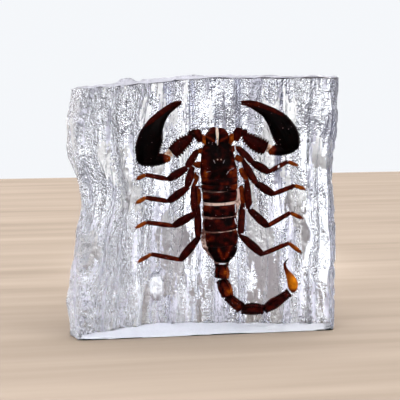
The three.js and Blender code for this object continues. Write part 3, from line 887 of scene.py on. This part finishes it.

# %% [markdown]
# The tail is five keeled links and the sting. Each link is waisted at its joints and
# carries ridges of teeth along its corners. The links get longer towards the sting,
# and the second one, which the light comes through, is partly amber: that light is
# painted into its colour. The sting is a smooth amber bulb that runs out into a curved dark point.

# %% Tail
TAIL_LINKS = [
    [
        [7.75, 27.0, 0, 2.2, 2.2], [7.9, 24.6, 0, 2.65, 2.5], [8.0, 22.6, 0, 2.95, 2.6],
        [7.8, 20.6, 0, 2.2, 2.1],
    ],
    [
        [7.75, 20.3, 0, 1.7, 1.9], [8.9, 17.6, 0, 2.65, 2.35], [9.8, 15.2, 0, 2.55, 2.35],
        [10.3, 13.2, 0, 1.9, 1.9],
    ],
    [
        [10.2, 13.5, 0, 1.6, 1.8], [12.3, 11.4, 0, 1.85, 2.0], [14.4, 9.6, 0, 2.05, 2.0],
        [16.0, 8.2, 0, 1.8, 1.7],
    ],
    [
        [15.8, 8.1, 0, 1.4, 1.6], [18.2, 7.9, 0, 2.1, 2.1], [20.6, 7.9, 0, 2.35, 2.2],
        [23.2, 7.7, 0, 2.0, 2.0], [25.1, 7.4, 0, 1.4, 1.5],
    ],
    [
        [24.9, 7.3, 0, 1.3, 1.5], [28.4, 9.4, 0, 2.15, 2.1], [32.0, 11.7, 0, 1.85, 1.9],
        [35.5, 14.1, 0, 1.35, 1.4],
    ],
]
TAIL_TONES = (0.42, 0.42, 0.40, 0.34, 0.38)
STING = [
    [36.2, 14.0, 0, 0.9, 1.0], [36.7, 15.6, 0, 1.75, 1.8], [36.7, 17.2, 0, 2.05, 2.0],
    [36.2, 19.0, 0, 1.9, 1.9],
    [35.2, 21.0, 0, 1.35, 1.45], [34.1, 22.9, 0, 0.88, 0.95], [33.4, 24.6, 0, 0.62, 0.65],
    [33.35, 26.0, 0, 0.43, 0.45], [34.1, 27.2, 0, 0.29, 0.3], [35.1, 28.0, 0, 0.1, 0.1],
]


KEEL_TURNS = np.pi * (np.arange(8) + 0.5) / 4


def link_relief(d, a):
    """Eight toothed keels, hollows between them, and a flange at both ends."""
    keels = sum(keel(d, a, turn, 0.15, 0.8) for turn in KEEL_TURNS)
    ends = np.exp(-(((d - 0.55) / 0.4) ** 2)) + np.exp(-(((d[-1] - d - 0.55) / 0.4) ** 2))
    return 0.5 * keels - 0.24 + 0.42 * ends + 0.08 * beads(d, a, 13, 0.5, 54)


def link_tone(points, base, k):
    """Dark along the keels and at both joints; on the first two links the light shining through is painted
    as amber on the right.
    """
    share = np.linspace(0, 1, points.shape[0])[:, None]
    a = 2 * np.pi * np.arange(points.shape[1]) / points.shape[1]
    x, _, z = np.moveaxis(points, -1, 0)
    lines = sum(keel(share, a, turn, 0.16) for turn in KEEL_TURNS)
    # Painted light: amber on the right of the first two links, where light shines through them.
    painted_glow = (0.34 if k < 2 else 0) * np.exp(-(((share - 0.62) / 0.2) ** 2))
    painted_glow = painted_glow * ease(6.8 + k, 9.6 + 1.4 * k, x)
    dark_ends = 0.16 * (1 - np.sin(np.pi * share))
    return base - dark_ends - 0.14 * lines + painted_glow + 0.1 * lattice_noise(x, z, 55)


links = [swept(line, 90, 96, 3.0, (0.25, 0.25), link_relief) for line in TAIL_LINKS]
link_tones = [link_tone(link, base, k) for k, (link, base) in enumerate(zip(links, TAIL_TONES))]
add_piece("tail_links", links, link_tones, horn)


def sting_relief(d, a):
    """Faint beads on the bulb that fade out towards the point."""
    return 0.06 * beads(d, a, 11, 0.8, 56) * ease(8, 5, d)


def sting_tone(points):
    """Amber bulb, brighter on its right, brown neck and nearly black point."""
    x, _, z = np.moveaxis(points, -1, 0)
    bulb = 0.92 * ease(14.2, 16.4, z) + 0.5 * (1 - ease(14.2, 16.4, z))
    neck_and_point = bulb - 0.38 * ease(19.5, 24.5, z) - 0.3 * ease(25.5, 27.6, z)
    return neck_and_point + 0.12 * ease(34.8, 38, x) - 0.06


sting = swept(STING, 120, 64, 2.0, (1.0, 0.3), sting_relief)
add_piece("sting", [sting], [sting_tone(sting)], horn)

# %% [markdown]
# A claw arm has a toothed upper arm, a stout forearm, and a swollen black hand. The
# fixed finger grows out of the hand, and the moving finger, a piece of its own in
# mahogany, lies along the outer side. Pale skin shows at the bend of the arm.

# %% Claw arms
# Each link's stations run outwards: x, z, rise, half width, half thickness. Inner is the
# turn of the hand's toothed edge, and a spike is given by the x and z of its tip.
CLAWS = dict(
    left=dict(
        coxa=[[1.6, 73.0, 0, 1.0, 1.3], [0.9, 75.4, 0.2, 1.2, 1.5], [-0.3, 77.6, 0, 1.0, 1.2]],
        root=[
            [-0.4, 74.8, 0.3, 0.9, 1.2], [-1.1, 76.5, 0.3, 1.35, 1.6],
            [-1.8, 78.2, 0.3, 1.45, 1.6], [-2.4, 79.7, 0.2, 1.0, 1.2],
        ],
        collar=[[-2.4, 77.3, 0.3, 1.0, 1.3], [-3.9, 78.0, 0.3, 1.2, 1.4], [-5.0, 77.4, 0.2, 0.9, 1.1]],
        upper=[
            [-4.0, 77.1, 0.2, 0.9, 1.2], [-5.8, 75.6, 0.2, 1.8, 1.7], [-7.8, 74.1, 0.2, 2.2, 1.9],
            [-9.7, 72.3, 0.2, 2.45, 2.0], [-11.7, 70.7, 0.2, 2.3, 1.9],
        ],
        skin=[[-11.9, 71.0, 0.1, 1.9, 1.3], [-13.2, 70.3, 0.1, 1.3, 1.2], [-15.0, 69.8, 0, 0.7, 1.0]],
        fore=[
            [-12.2, 68.6, 0.5, 0.9, 1.2], [-14.4, 68.7, 0.5, 1.65, 1.7],
            [-17.4, 68.1, 0, 2.0, 2.0], [-20.8, 67.9, 0, 2.05, 2.1], [-23.4, 68.4, 0, 1.9, 2.0],
            [-25.2, 69.8, 0, 1.1, 1.4],
        ],
        hand=[
            [-21.7, 67.0, 0.2, 3.1, 1.9], [-21.4, 69.8, 0.2, 4.15, 2.7],
            [-21.1, 72.6, 0.2, 4.65, 3.0], [-20.3, 75.6, 0.2, 4.6, 3.0],
            [-19.3, 78.6, 0.2, 4.2, 2.8], [-17.9, 81.3, 0.1, 3.3, 2.4], [-15.9, 83.9, 0, 2.1, 1.9],
            [-13.4, 86.3, 0, 1.15, 1.3], [-10.8, 88.2, 0, 0.8, 0.95], [-8.0, 89.7, 0, 0.4, 0.5],
        ],
        finger=[
            [-22.6, 79.4, 0.6, 0.5, 1.0], [-20.5, 82.3, 0.9, 1.1, 1.35],
            [-17.8, 84.6, 0.8, 1.25, 1.3], [-14.9, 86.9, 0.6, 1.15, 1.2],
            [-12.0, 88.9, 0.4, 1.0, 1.0], [-9.6, 90.0, 0.2, 0.75, 0.75],
            [-7.7, 90.4, 0.1, 0.3, 0.35],
        ],
        inner=RIGHT_EDGE,
        spikes=[[-3.0, 80.4], [-1.9, 80.6], [-4.0, 79.7], [-1.0, 79.9], [-4.8, 79.0]],
    ),
    right=dict(
        coxa=[[10.2, 73.0, 0, 1.0, 1.3], [11.2, 75.4, 0.2, 1.35, 1.5], [12.2, 77.8, 0, 1.1, 1.2]],
        root=[
            [13.2, 74.8, 0.3, 0.9, 1.2], [13.5, 76.6, 0.3, 1.4, 1.6], [14.2, 78.4, 0.3, 1.5, 1.6],
            [14.9, 80.1, 0.2, 1.0, 1.2],
        ],
        collar=[[14.8, 77.4, 0.3, 1.1, 1.3], [16.2, 78.2, 0.3, 1.25, 1.4], [17.3, 77.4, 0.2, 0.9, 1.1]],
        upper=[
            [16.2, 77.3, 0.2, 0.9, 1.2], [18.2, 75.8, 0.2, 1.9, 1.7], [20.8, 74.1, 0.2, 2.45, 1.9],
            [23.4, 72.8, 0.2, 2.6, 2.0], [25.5, 71.9, 0.2, 2.3, 1.9],
        ],
        skin=[[25.5, 72.2, 0.1, 1.8, 1.3], [26.8, 72.0, 0.1, 1.4, 1.2], [28.6, 72.2, 0, 0.7, 1.0]],
        fore=[
            [26.1, 70.4, 0.5, 0.9, 1.2], [28.2, 71.1, 0.5, 1.65, 1.7], [31.2, 71.2, 0, 2.0, 2.0],
            [34.2, 71.9, 0, 2.1, 2.1], [36.6, 72.9, 0, 1.8, 1.9], [38.2, 74.4, 0, 1.0, 1.4],
        ],
        hand=[
            [35.0, 70.7, 0.2, 3.0, 1.9], [34.6, 73.4, 0.2, 4.2, 2.7], [33.6, 76.2, 0.2, 4.8, 3.0],
            [32.1, 79.0, 0.2, 4.7, 3.0], [30.3, 81.6, 0.2, 4.25, 2.8], [28.0, 84.0, 0.1, 3.4, 2.4],
            [25.2, 86.1, 0, 2.3, 1.9], [21.9, 87.5, 0, 1.4, 1.3], [18.6, 88.8, 0, 0.85, 0.95],
            [15.2, 89.4, 0, 0.4, 0.5],
        ],
        finger=[
            [34.0, 82.3, 0.6, 0.5, 1.0], [31.0, 84.7, 0.9, 1.1, 1.35],
            [27.8, 86.5, 0.8, 1.25, 1.3], [24.5, 88.0, 0.6, 1.2, 1.2], [21.0, 89.3, 0.4, 1.1, 1.0],
            [17.9, 90.0, 0.2, 0.8, 0.75], [15.2, 90.2, 0.1, 0.35, 0.35],
        ],
        inner=LEFT_EDGE,
        spikes=[[14.1, 80.8], [15.4, 81.1], [16.5, 80.0], [17.5, 79.5], [13.0, 79.6]],
    ),
)


def upper_arm_relief(d, a):
    """Big teeth along both edges and small beads all over."""
    edges = keel(d, a, RIGHT_EDGE, 0.2, 1.15) ** 2 + keel(d + 0.4, a, LEFT_EDGE, 0.2, 1.15) ** 2
    ridge = 0.14 * keel(d, a, FRONT - 0.5, 0.1, 0.6)
    return 0.95 * edges - 0.05 + ridge + 0.1 * beads(d, a, 13, 0.55, 61)


def fore_arm_relief(d, a):
    """Lower teeth along both edges, a third of a step apart, and small beads all over."""
    edges = keel(d, a, RIGHT_EDGE, 0.16, 0.95) + keel(d + 0.3, a, LEFT_EDGE, 0.16, 0.95)
    return 0.45 * edges - 0.05 + 0.1 * beads(d, a, 13, 0.55, 62)


def hand_relief(inner):
    """Teeth on the inner edge and low ones outside, four soft keels, and beads between."""
    def relief(d, a):
        """Edge teeth plus ribs plus beads, the last two fading out towards the tip."""
        inside = 1.3 * keel(d, a, inner, 0.14, 1.1) ** 2 * ease(15, 10, d)
        edge = inside + 0.6 * keel(d, a, inner + np.pi, 0.1, 1.0) ** 2
        ribs = sum(keel(d, a, FRONT + turn, 0.09) for turn in (-0.9, -0.3, 0.3, 0.9))
        fade = ease(16, 11, d)
        return 0.55 * edge + 0.14 * ribs * fade + 0.13 * beads(d, a, 24, 0.6, 63) * fade
    return relief


def finger_relief(d, a):
    """Faint small beads."""
    return 0.06 * beads(d, a, 6, 0.5, 64)


HAND_ROWS, HAND_COLUMNS, FINGER_ROWS = 200, 120, 120


def spike(x, z):
    """A short thorn 1.8 mm long that narrows upwards to its tip."""
    return swept([[x, z - 1.8, 0.5, 0.5, 0.5], [x, z, 0.5, 0.15, 0.15]], 12, 12)


def claw_pieces(side, part):
    """Shells and tones of one arm, from the head outwards."""
    coxa = swept(part["coxa"], 40, 36, 2.2, (0.5, 0.5))
    root = swept(part["root"], 60, 48, 2.6, (0.4, 0.4), fore_arm_relief)
    collar = swept(part["collar"], 40, 40, 2.4, (0.4, 0.4), fore_arm_relief)
    spikes = [spike(x, z) for x, z in part["spikes"]]
    upper = swept(part["upper"], 110, 88, 2.4, (0.5, 0.4), upper_arm_relief)
    fore = swept(part["fore"], 110, 72, 2.3, (0.6, 1.0), fore_arm_relief)
    from_bend = np.linalg.norm(fore.mean(1) - fore[0].mean(0), axis=1)[:, None]
    fore_tone = 0.60 - 0.55 * ease(1.6, 4.2, from_bend)
    arm = [coxa, root, collar, *spikes, upper, fore]
    tones = [0.66, 0.36, 0.24, *[0.3] * len(spikes), 0.31, fore_tone]
    add_piece(side + "_arm", arm, tones, horn)
    arm_skin = swept(part["skin"], 30, 40, 2.2, (0.4, 0.4))
    add_piece(side + "_arm_skin", [arm_skin], [0.72], pale_skin)
    relief = hand_relief(part["inner"])
    hand = swept(part["hand"], HAND_ROWS, HAND_COLUMNS, 2.2, (1.2, 0.4), relief)
    share = np.linspace(0, 1, HAND_ROWS)[:, None]
    # The reddish rim along the hand's two edges is partly its own horn and partly painted rim light where
    # the view grazes the hand.
    rim = np.abs(np.cos(2 * np.pi * np.arange(HAND_COLUMNS) / HAND_COLUMNS)) ** 8
    hand_tone = 0.04 + 0.30 * ease(0.62, 0.85, share) + 0.25 * ease(0.08, 0.0, share) + 0.26 * rim
    add_piece(side + "_hand", [hand], [hand_tone], horn)
    finger = swept(part["finger"], FINGER_ROWS, 40, 2.2, (0.9, 0.4), finger_relief)
    finger_tone = 0.34 + 0.08 * ease(0.1, 0.9, np.linspace(0, 1, FINGER_ROWS))[:, None]
    add_piece(side + "_finger", [finger], [finger_tone], horn)


for side, part in CLAWS.items():
    claw_pieces(side, part)

# %% [markdown]
# Eight legs come out from under the body. Each has a short amber root link, a thigh and a
# shank that are flat spindles, a thin shin, and an orange foot with two claws. One
# function makes a leg from the places of its joints.

# %% Legs
LEGS = dict(
    left_leg_1=dict(
        root=(4, 70), hip=(-1.5, 71.6), thigh=(-5.9, 65.3), knee=(-6.1, 64.8), shank=(-13.2, 60.6),
        ankle=(-21.9, 62.4), toe=(-25.4, 60.7),
    ),
    left_leg_2=dict(
        root=(3, 65.5), hip=(-3.3, 66.0), thigh=(-5.9, 57.7), knee=(-5.7, 57.2),
        shank=(-13.2, 52.0), ankle=(-22.0, 53.5), toe=(-25.6, 51.3),
    ),
    left_leg_3=dict(
        root=(-1.6, 62.8), hip=(-3.2, 58.3), thigh=(-3.0, 47.6), knee=(-2.8, 47.0),
        shank=(-11.2, 42.3), ankle=(-21.8, 43.8), toe=(-25.7, 41.7),
    ),
    left_leg_4=dict(
        root=(-1.2, 57.6), hip=(-1.6, 50.2), thigh=(-1.5, 37.8), knee=(-1.3, 37.3),
        shank=(-8.6, 28.8), ankle=(-20.0, 31.2), toe=(-25.0, 28.1),
    ),
    right_leg_1=dict(
        root=(9, 70), hip=(13.8, 72.7), thigh=(19.5, 66.9), knee=(19.7, 66.6), shank=(26.3, 62.7),
        ankle=(34.1, 66.5), toe=(38.1, 64.9),
    ),
    right_leg_2=dict(
        root=(13.2, 68.6), hip=(16.2, 67.4), thigh=(21.1, 58.6), knee=(21.3, 58.4),
        shank=(28.2, 53.9), ankle=(37.1, 57.0), toe=(41.4, 55.4),
    ),
    right_leg_3=dict(
        root=(15.4, 64.2), hip=(17.8, 59.8), thigh=(18.5, 48.6), knee=(18.6, 48.2),
        shank=(25.9, 41.2), ankle=(35.4, 46.2), toe=(40.4, 43.7),
    ),
    right_leg_4=dict(
        root=(15.5, 57.4), hip=(16.4, 50.3), thigh=(15.4, 38.2), knee=(15.4, 37.8),
        shank=(24.0, 30.0), ankle=(35.0, 34.0), toe=(40.0, 30.0),
    ),
)
# Share of the link, half width, as parts of its girth.
THIGH = [(-0.03, 0.5), (0.2, 0.8), (0.6, 1.0), (0.88, 0.9), (1.03, 0.65)]
SHANK = [(-0.05, 0.5), (0.2, 0.82), (0.62, 1.0), (0.86, 0.85), (1.03, 0.6)]
SHIN = [(-0.04, 0.7), (0.2, 1.0), (0.8, 0.95), (1.01, 0.85)]
FOOT = [(0, 0.8), (0.4, 1.0), (0.8, 0.9), (1, 0.5)]
ROOT = [(0, 0.7), (0.35, 1.0), (0.7, 1.0), (1, 0.7)]


def link_line(start, end, rises, half_width, shape, flat=0.85):
    """Stations from start to end: place and rise drawn straight, width by the shape."""
    t = np.array([share for share, _ in shape])[:, None]
    swell = np.array([size for _, size in shape])[:, None] * half_width
    place = np.array(start) * (1 - t) + np.array(end) * t
    rise = rises[0] * (1 - t) + rises[1] * t
    return np.concatenate([place, rise, swell, swell * flat], axis=1)


def leg_relief(d, a):
    """Low teeth along both edges, half a step apart, and faint beads."""
    edges = keel(d, a, RIGHT_EDGE, 0.2, 0.6) + keel(d + 0.3, a, LEFT_EDGE, 0.2, 0.6)
    return 0.09 * edges + 0.05 * beads(d, a, 8, 0.5, 71)


def toe_claws(toe, ankle):
    """Two short hooks that spread from the end of the foot and bend down."""
    along = np.array(toe) - np.array(ankle)
    along /= np.linalg.norm(along)
    side = np.array([along[1], -along[0]])
    hooks = []
    for spread in (-1, 1):
        tip = np.array(toe) + 0.8 * along + spread * 0.55 * side
        middle = np.array(toe) + 0.45 * along + spread * 0.42 * side
        line = [
            [*toe, -1.4, 0.22, 0.22], [*middle, -1.4, 0.15, 0.15], [*tip, -1.7, 0.05, 0.05],
        ]
        hooks.append(swept(line, 14, 12, caps=(0.2, 0.1)))
    return hooks


def add_leg(name, leg):
    """Root, thigh, shank, shin, foot and hooks, with tones that lighten outwards."""
    fourth = name.endswith("4")
    high = 0.0 if fourth else 1.0
    links = [
        (link_line(leg["root"], leg["hip"], (-1.6, -0.9), 1.2, ROOT), 0.60),
        (link_line(leg["hip"], leg["thigh"], (-1.0 - fourth, high), 1.42, THIGH), 0.38),
        (link_line(leg["knee"], leg["shank"], (high, 1.0), 1.6, SHANK), 0.31),
        (link_line(leg["shank"], leg["ankle"], (0.9, -0.5), 0.88, SHIN), 0.42),
        (link_line(leg["ankle"], leg["toe"], (-0.5, -1.4), 0.75, FOOT), 0.66),
    ]
    shells = [swept(line, 64, 36, 2.3, (0.2, 0.2), leg_relief) for line, _ in links]
    tones = [tone for _, tone in links]
    hooks = toe_claws(leg["toe"], leg["ankle"])
    add_piece(name, shells + hooks, tones + [0.6] * len(hooks), horn)


for name, leg in LEGS.items():
    add_leg(name, leg)

# %% [markdown]
# Seen from behind, the belly side shows the roots of the legs meeting at a small
# breastbone and a pair of combs behind them. They are barely seen through the hewn
# resin, so each is a plain tube.

# %% Belly side
BELLY_MIDDLE = 6.4
# z of each leg root at the flank and at the breastbone.
ROOT_ENDS = [(70, 68), (65, 65.5), (60, 63), (56, 61)]
COMB_TEETH = 13


def belly_shells():
    """Leg roots slant in to the middle; comb teeth stand in two short rows."""
    roots = []
    for side in (-1, 1):
        for k, (z0, z1) in enumerate(ROOT_ENDS):
            start = (BELLY_MIDDLE + side * (5.6 + 0.3 * k), z0)
            end = (BELLY_MIDDLE + side * 1.3, z1)
            roots.append(swept(link_line(start, end, (-1.9, -2.5), 1.15, ROOT, 0.7), 30, 28, 2.3))
        start, end = (BELLY_MIDDLE + side * 0.9, 59.2), (BELLY_MIDDLE + side * 6.2, 55.2)
        roots.append(swept(link_line(start, end, (-2.9, -2.4), 0.5, FOOT), 30, 20))
        for t in np.linspace(0.1, 0.95, COMB_TEETH):
            x, z = BELLY_MIDDLE + side * (0.9 + 5.3 * t), 59.0 - 4 * t
            tooth = [[x, z, -2.8, 0.18, 0.25], [x - side * 0.9, z - 1.6, -2.6, 0.16, 0.2]]
            roots.append(swept(tooth, 10, 10, caps=(0.1, 0.2)))
    return roots


belly = belly_shells()
add_piece("belly_roots", belly, [0.45] * len(belly), horn)

# %% [markdown]
# While the resin sets, a little air stays caught at the joints and edges of the animal
# and shows as silvery threads. Each is a short, ragged and slightly flattened tube, whose
# silvery reflection is painted as a pale colour. A speckle in the horn's finish could not
# stand off the surface as these do.

# %% Air films with painted reflections
def fleck_relief(d, a):
    """Ragged edges: a noise that changes every 0.4 mm along the film and once round it."""
    return 0.12 * lattice_noise(d / 0.4, 2 * np.cos(a), 81)


# Start x, z, end x, z, half width, rise.
FLECKS = [
    [20.2, 50.3, 18.9, 48.3, 0.40, 1.9], [18.2, 47.6, 16.2, 48.8, 0.30, 1.4],
    [-3.2, 60.6, -4.6, 57.4, 0.20, 1.0],
    [-0.6, 56.6, 0.1, 53.4, 0.18, 0.6], [-0.4, 51.6, 0.3, 50.4, 0.40, 0.9],
    [30.0, 64.2, 30.5, 65.4, 0.35, 1.3],
    [12.9, 50.6, 13.1, 47.0, 0.20, 2.7], [12.7, 44.9, 13.4, 42.5, 0.22, 2.6],
    [6.4, 26.9, 9.4, 26.8, 0.26, 2.4],
    [35.0, 14.8, 35.7, 14.2, 0.35, 1.5], [1.2, 74.8, -0.2, 72.9, 0.30, 1.2],
    [13.6, 74.2, 14.1, 73.0, 0.30, 1.2],
    [-4.1, 65.9, -2.5, 64.8, 0.16, 0.4], [-2.5, 64.8, -3.1, 63.0, 0.16, 0.4],
    [-2.2, 62.7, -0.9, 61.4, 0.18, 0.5],
    [-0.9, 61.4, -1.3, 58.8, 0.16, 0.5], [-1.4, 57.0, -0.1, 56.5, 0.16, 0.8],
    [12.8, 74.0, 13.1, 70.6, 0.20, 0.9],
    [16.6, 68.3, 18.6, 65.6, 0.20, 1.2], [14.2, 61.3, 15.3, 59.4, 0.26, 0.8],
    [15.3, 59.4, 16.8, 58.1, 0.20, 0.8],
    [14.2, 56.7, 15.3, 58.5, 0.16, 0.8], [9.2, 62.2, 10.3, 63.7, 0.11, 3.5],
    [10.3, 63.7, 12.5, 64.8, 0.11, 3.0],
    [1.2, 63.2, 3.2, 63.6, 0.09, 3.2], [4.1, 68.1, 4.8, 66.5, 0.13, 3.7], [7.9, 66.6, 8.5, 67.9, 0.11, 3.7],
    [2.6, 29.6, 4.2, 27.2, 0.24, 0.9], [15.4, 38.6, 17.4, 37.8, 0.20, 1.6],
    [11.6, 33.7, 13.4, 33.5, 0.13, 2.2],
    [-2.9, 47.7, -2.4, 46.6, 0.26, 1.2], [2.0, 78.6, 3.6, 79.9, 0.08, 1.6],
    [7.2, 79.4, 9.0, 78.4, 0.08, 1.7],
]
flecks = [
    swept(link_line((x0, z0), (x1, z1), (rise, rise), size, ROOT, 0.7), 24, 16, relief=fleck_relief)
    for x0, z0, x1, z1, size, rise in FLECKS
]
# Tone of each film's painted reflection: grey for the high or very thin ones, nearly white for the rest.
thin = [0.25 if rise > 2.9 or size < 0.1 else 0.8 for *_, size, rise in FLECKS]
add_piece("air_films", flecks, thin, glinting_air_film)

# %% [markdown]
# The block stands on a pale matt table, faintly streaked along its length. One plane is
# enough. It runs well past the block on all sides, because the resin bends the view and
# shows parts of the table that lie far to the left and right.

# %% Table
TABLE = dict(left=-900.0, right=900.0, near=-900.0, far=500.0, z=-0.3)


def add_table():
    """One rectangle a little under the block's base, matt, its colour drawn by a noise that
    is stretched along x."""
    corners = np.array([
        [TABLE["left"], TABLE["near"], TABLE["z"]], [TABLE["right"], TABLE["near"], TABLE["z"]],
        [TABLE["right"], TABLE["far"], TABLE["z"]], [TABLE["left"], TABLE["far"], TABLE["z"]],
    ]) * MM
    mesh = bpy.data.meshes.new("table")
    mesh.from_pydata(corners.tolist(), [], [(0, 1, 2, 3)])
    table = bpy.data.objects.new("table", mesh)
    bpy.context.scene.collection.objects.link(table)
    material, tree, shader, _ = new_material("pale_table")
    colour = ramp_colours(tree, add_noise(tree, 30, 5.0, (0.15, 2.5, 1)), (
        (0.3, (0.150, 0.119, 0.093)), (0.7, (0.195, 0.156, 0.124)),
    ))
    tree.links.new(colour, shader.inputs["Base Color"])
    shader.inputs["Roughness"].default_value = 1.0
    shader.inputs["Specular IOR Level"].default_value = 0.0
    mesh.materials.append(material)
    return table


add_table()

# %% [markdown]
# Most of the light comes from the room itself, so two lamps are enough: a weak square
# panel high on the left and a spot that lays a pool of light on the table behind the
# block. The pool is seen through the resin, where it brightens the lower streaks.

# %% Light
def place_lamp(name, data, place, aim):
    """A lamp shines along its own -Z. It is tipped up from straight down by
    atan2(level distance, drop), then turned round Z until it faces aim."""
    lamp = bpy.data.objects.new(name, data)
    lamp.location = np.array(place) * MM
    direction = np.array(aim, float) - np.array(place, float)
    level = math.hypot(direction[0], direction[1])
    tip, turn = math.atan2(level, -direction[2]), math.atan2(-direction[0], direction[1])
    lamp.rotation_euler = (tip, 0, turn)
    bpy.context.scene.collection.objects.link(lamp)
    return lamp


def add_panel(name, place, aim, size, power):
    """A rectangular soft light at place, turned to face aim."""
    data = bpy.data.lights.new(name, "AREA")
    data.shape = "RECTANGLE"
    data.size, data.size_y = size
    data.energy = power
    return place_lamp(name, data, place, aim)


def add_pool(place, aim, angle, power):
    """A soft-edged spot lamp: it lays a pool of light on the table behind the block."""
    data = bpy.data.lights.new("pool", "SPOT")
    data.energy = power
    data.color = (0.88, 0.95, 1.0)
    data.spot_size = math.radians(angle)
    data.spot_blend = 1.0
    data.shadow_soft_size = 20 * MM
    return place_lamp("pool", data, place, aim)


key = add_panel("key", (-700, 200, 700), (0, 0, 50), (0.5, 0.5), power=4)
pool = add_pool((30, 320, 520), (26, 125, 0), angle=17, power=30)
print("lamps:", key.name, pool.name)

# %% [markdown]
# Clear resin shows whatever stands round it, so the room is part of the look: bright
# fields beside dark gaps draw the streaks in the hewn faces. The room is a world whose
# brightness depends only on direction, made of plain steps and stripes. Walls and lit
# panels of mesh could do the same, but these can be tuned one by one and cost nothing.

# %% Studio
DARK_ROOM = 0.03


def studio_world():
    """Radiance by direction, a sum that never falls under the dark room's: the low wall
    behind, less the shade over it and a gap at either side, and the panes of a window in
    it; the ceiling; a soft left side; slats of light on the right, dark between them; and
    a front that is dim below and brighter above. The colour follows the brightness, from
    lavender in the dark to nearly white."""
    world = bpy.data.worlds.new("studio")
    world.use_nodes = True
    tree = world.node_tree
    back = tree.nodes["Background"]
    place = tree.nodes.new("ShaderNodeTexCoord")
    split = tree.nodes.new("ShaderNodeSeparateXYZ")
    tree.links.new(place.outputs["Generated"], split.inputs[0])

    def step(axis, low, high, gain=1.0):
        """From 0 at low to gain at high, smooth between and level outside."""
        node = tree.nodes.new("ShaderNodeMapRange")
        node.interpolation_type = "SMOOTHSTEP"
        node.inputs["From Min"].default_value = low
        node.inputs["From Max"].default_value = high
        node.inputs["To Max"].default_value = gain
        tree.links.new(split.outputs[axis], node.inputs["Value"])
        return node.outputs["Result"]

    def stripes(axis, pitch, middle, share):
        """1 on stripes round middle that fill a share of the pitch, 0 between them: the
        cosine of the place, cut where it has fallen to cos(pi * share)."""
        place = add_math(tree, "SUBTRACT", split.outputs[axis], middle)
        wave = add_math(tree, "COSINE", add_math(tree, "MULTIPLY", place, 2 * math.pi / pitch), 0)
        return add_math(tree, "GREATER_THAN", wave, math.cos(math.pi * share))

    def total(*parts):
        """The sum of all the parts."""
        value = parts[0]
        for part in parts[1:]:
            value = add_math(tree, "ADD", value, part)
        return value

    behind = step("Y", 0.0, 0.35)
    wall = add_math(tree, "MULTIPLY", behind, step("Z", -0.35, -0.14, 0.93))
    shade = add_math(tree, "MULTIPLY", behind, step("Z", 0.042, 0.06, -0.84))
    bars = add_math(tree, "MULTIPLY", stripes("Z", 0.5, 0.092, 0.17), stripes("X", 0.17, 0.043, 0.6))
    window = add_math(tree, "MULTIPLY", bars, step("Z", 0.041, 0.048, 4.5))
    window = add_math(tree, "MULTIPLY", behind, window)
    ceiling = step("Z", 0.7, 0.85, 5.7)
    gap_left = add_math(tree, "MULTIPLY", behind, step("X", -0.03, -0.07, -0.7))
    gap_right = add_math(tree, "MULTIPLY", behind, step("X", 0.35, 0.40, -0.7))
    left = add_math(tree, "MULTIPLY", step("X", -0.3, -0.45, 0.9), step("Z", -0.35, -0.1))
    slats = add_math(tree, "MULTIPLY", stripes("Z", 0.26, 0.1, 0.45), step("Z", -0.35, -0.1))
    right = add_math(tree, "MULTIPLY", step("X", 0.5, 0.52, 8.0), slats)
    before = add_math(tree, "ADD", step("Z", -0.35, -0.1, 0.4), step("Z", 0.28, 0.45, 1.6))
    before = add_math(tree, "MULTIPLY", step("Y", 0.0, -0.2), before)
    fields = (wall, window, shade, ceiling, before, gap_left, gap_right, left, right)
    value = add_math(tree, "MAXIMUM", total(DARK_ROOM, *fields), DARK_ROOM)
    tint = ramp_colours(tree, value, (
        (0.05, (0.86, 0.74, 1.0)), (0.7, (0.95, 0.97, 1.0)), (0.45, (0.92, 0.91, 1.0)),
    ))
    tree.links.new(tint, back.inputs["Color"])
    tree.links.new(value, back.inputs["Strength"])
    bpy.context.scene.world = world


studio_world()
scene = bpy.context.scene
scene.view_settings.view_transform = "Standard"
scene.cycles.max_bounces = 24
scene.cycles.transmission_bounces = 24
print("world:", scene.world.name, "bounces:", scene.cycles.max_bounces)
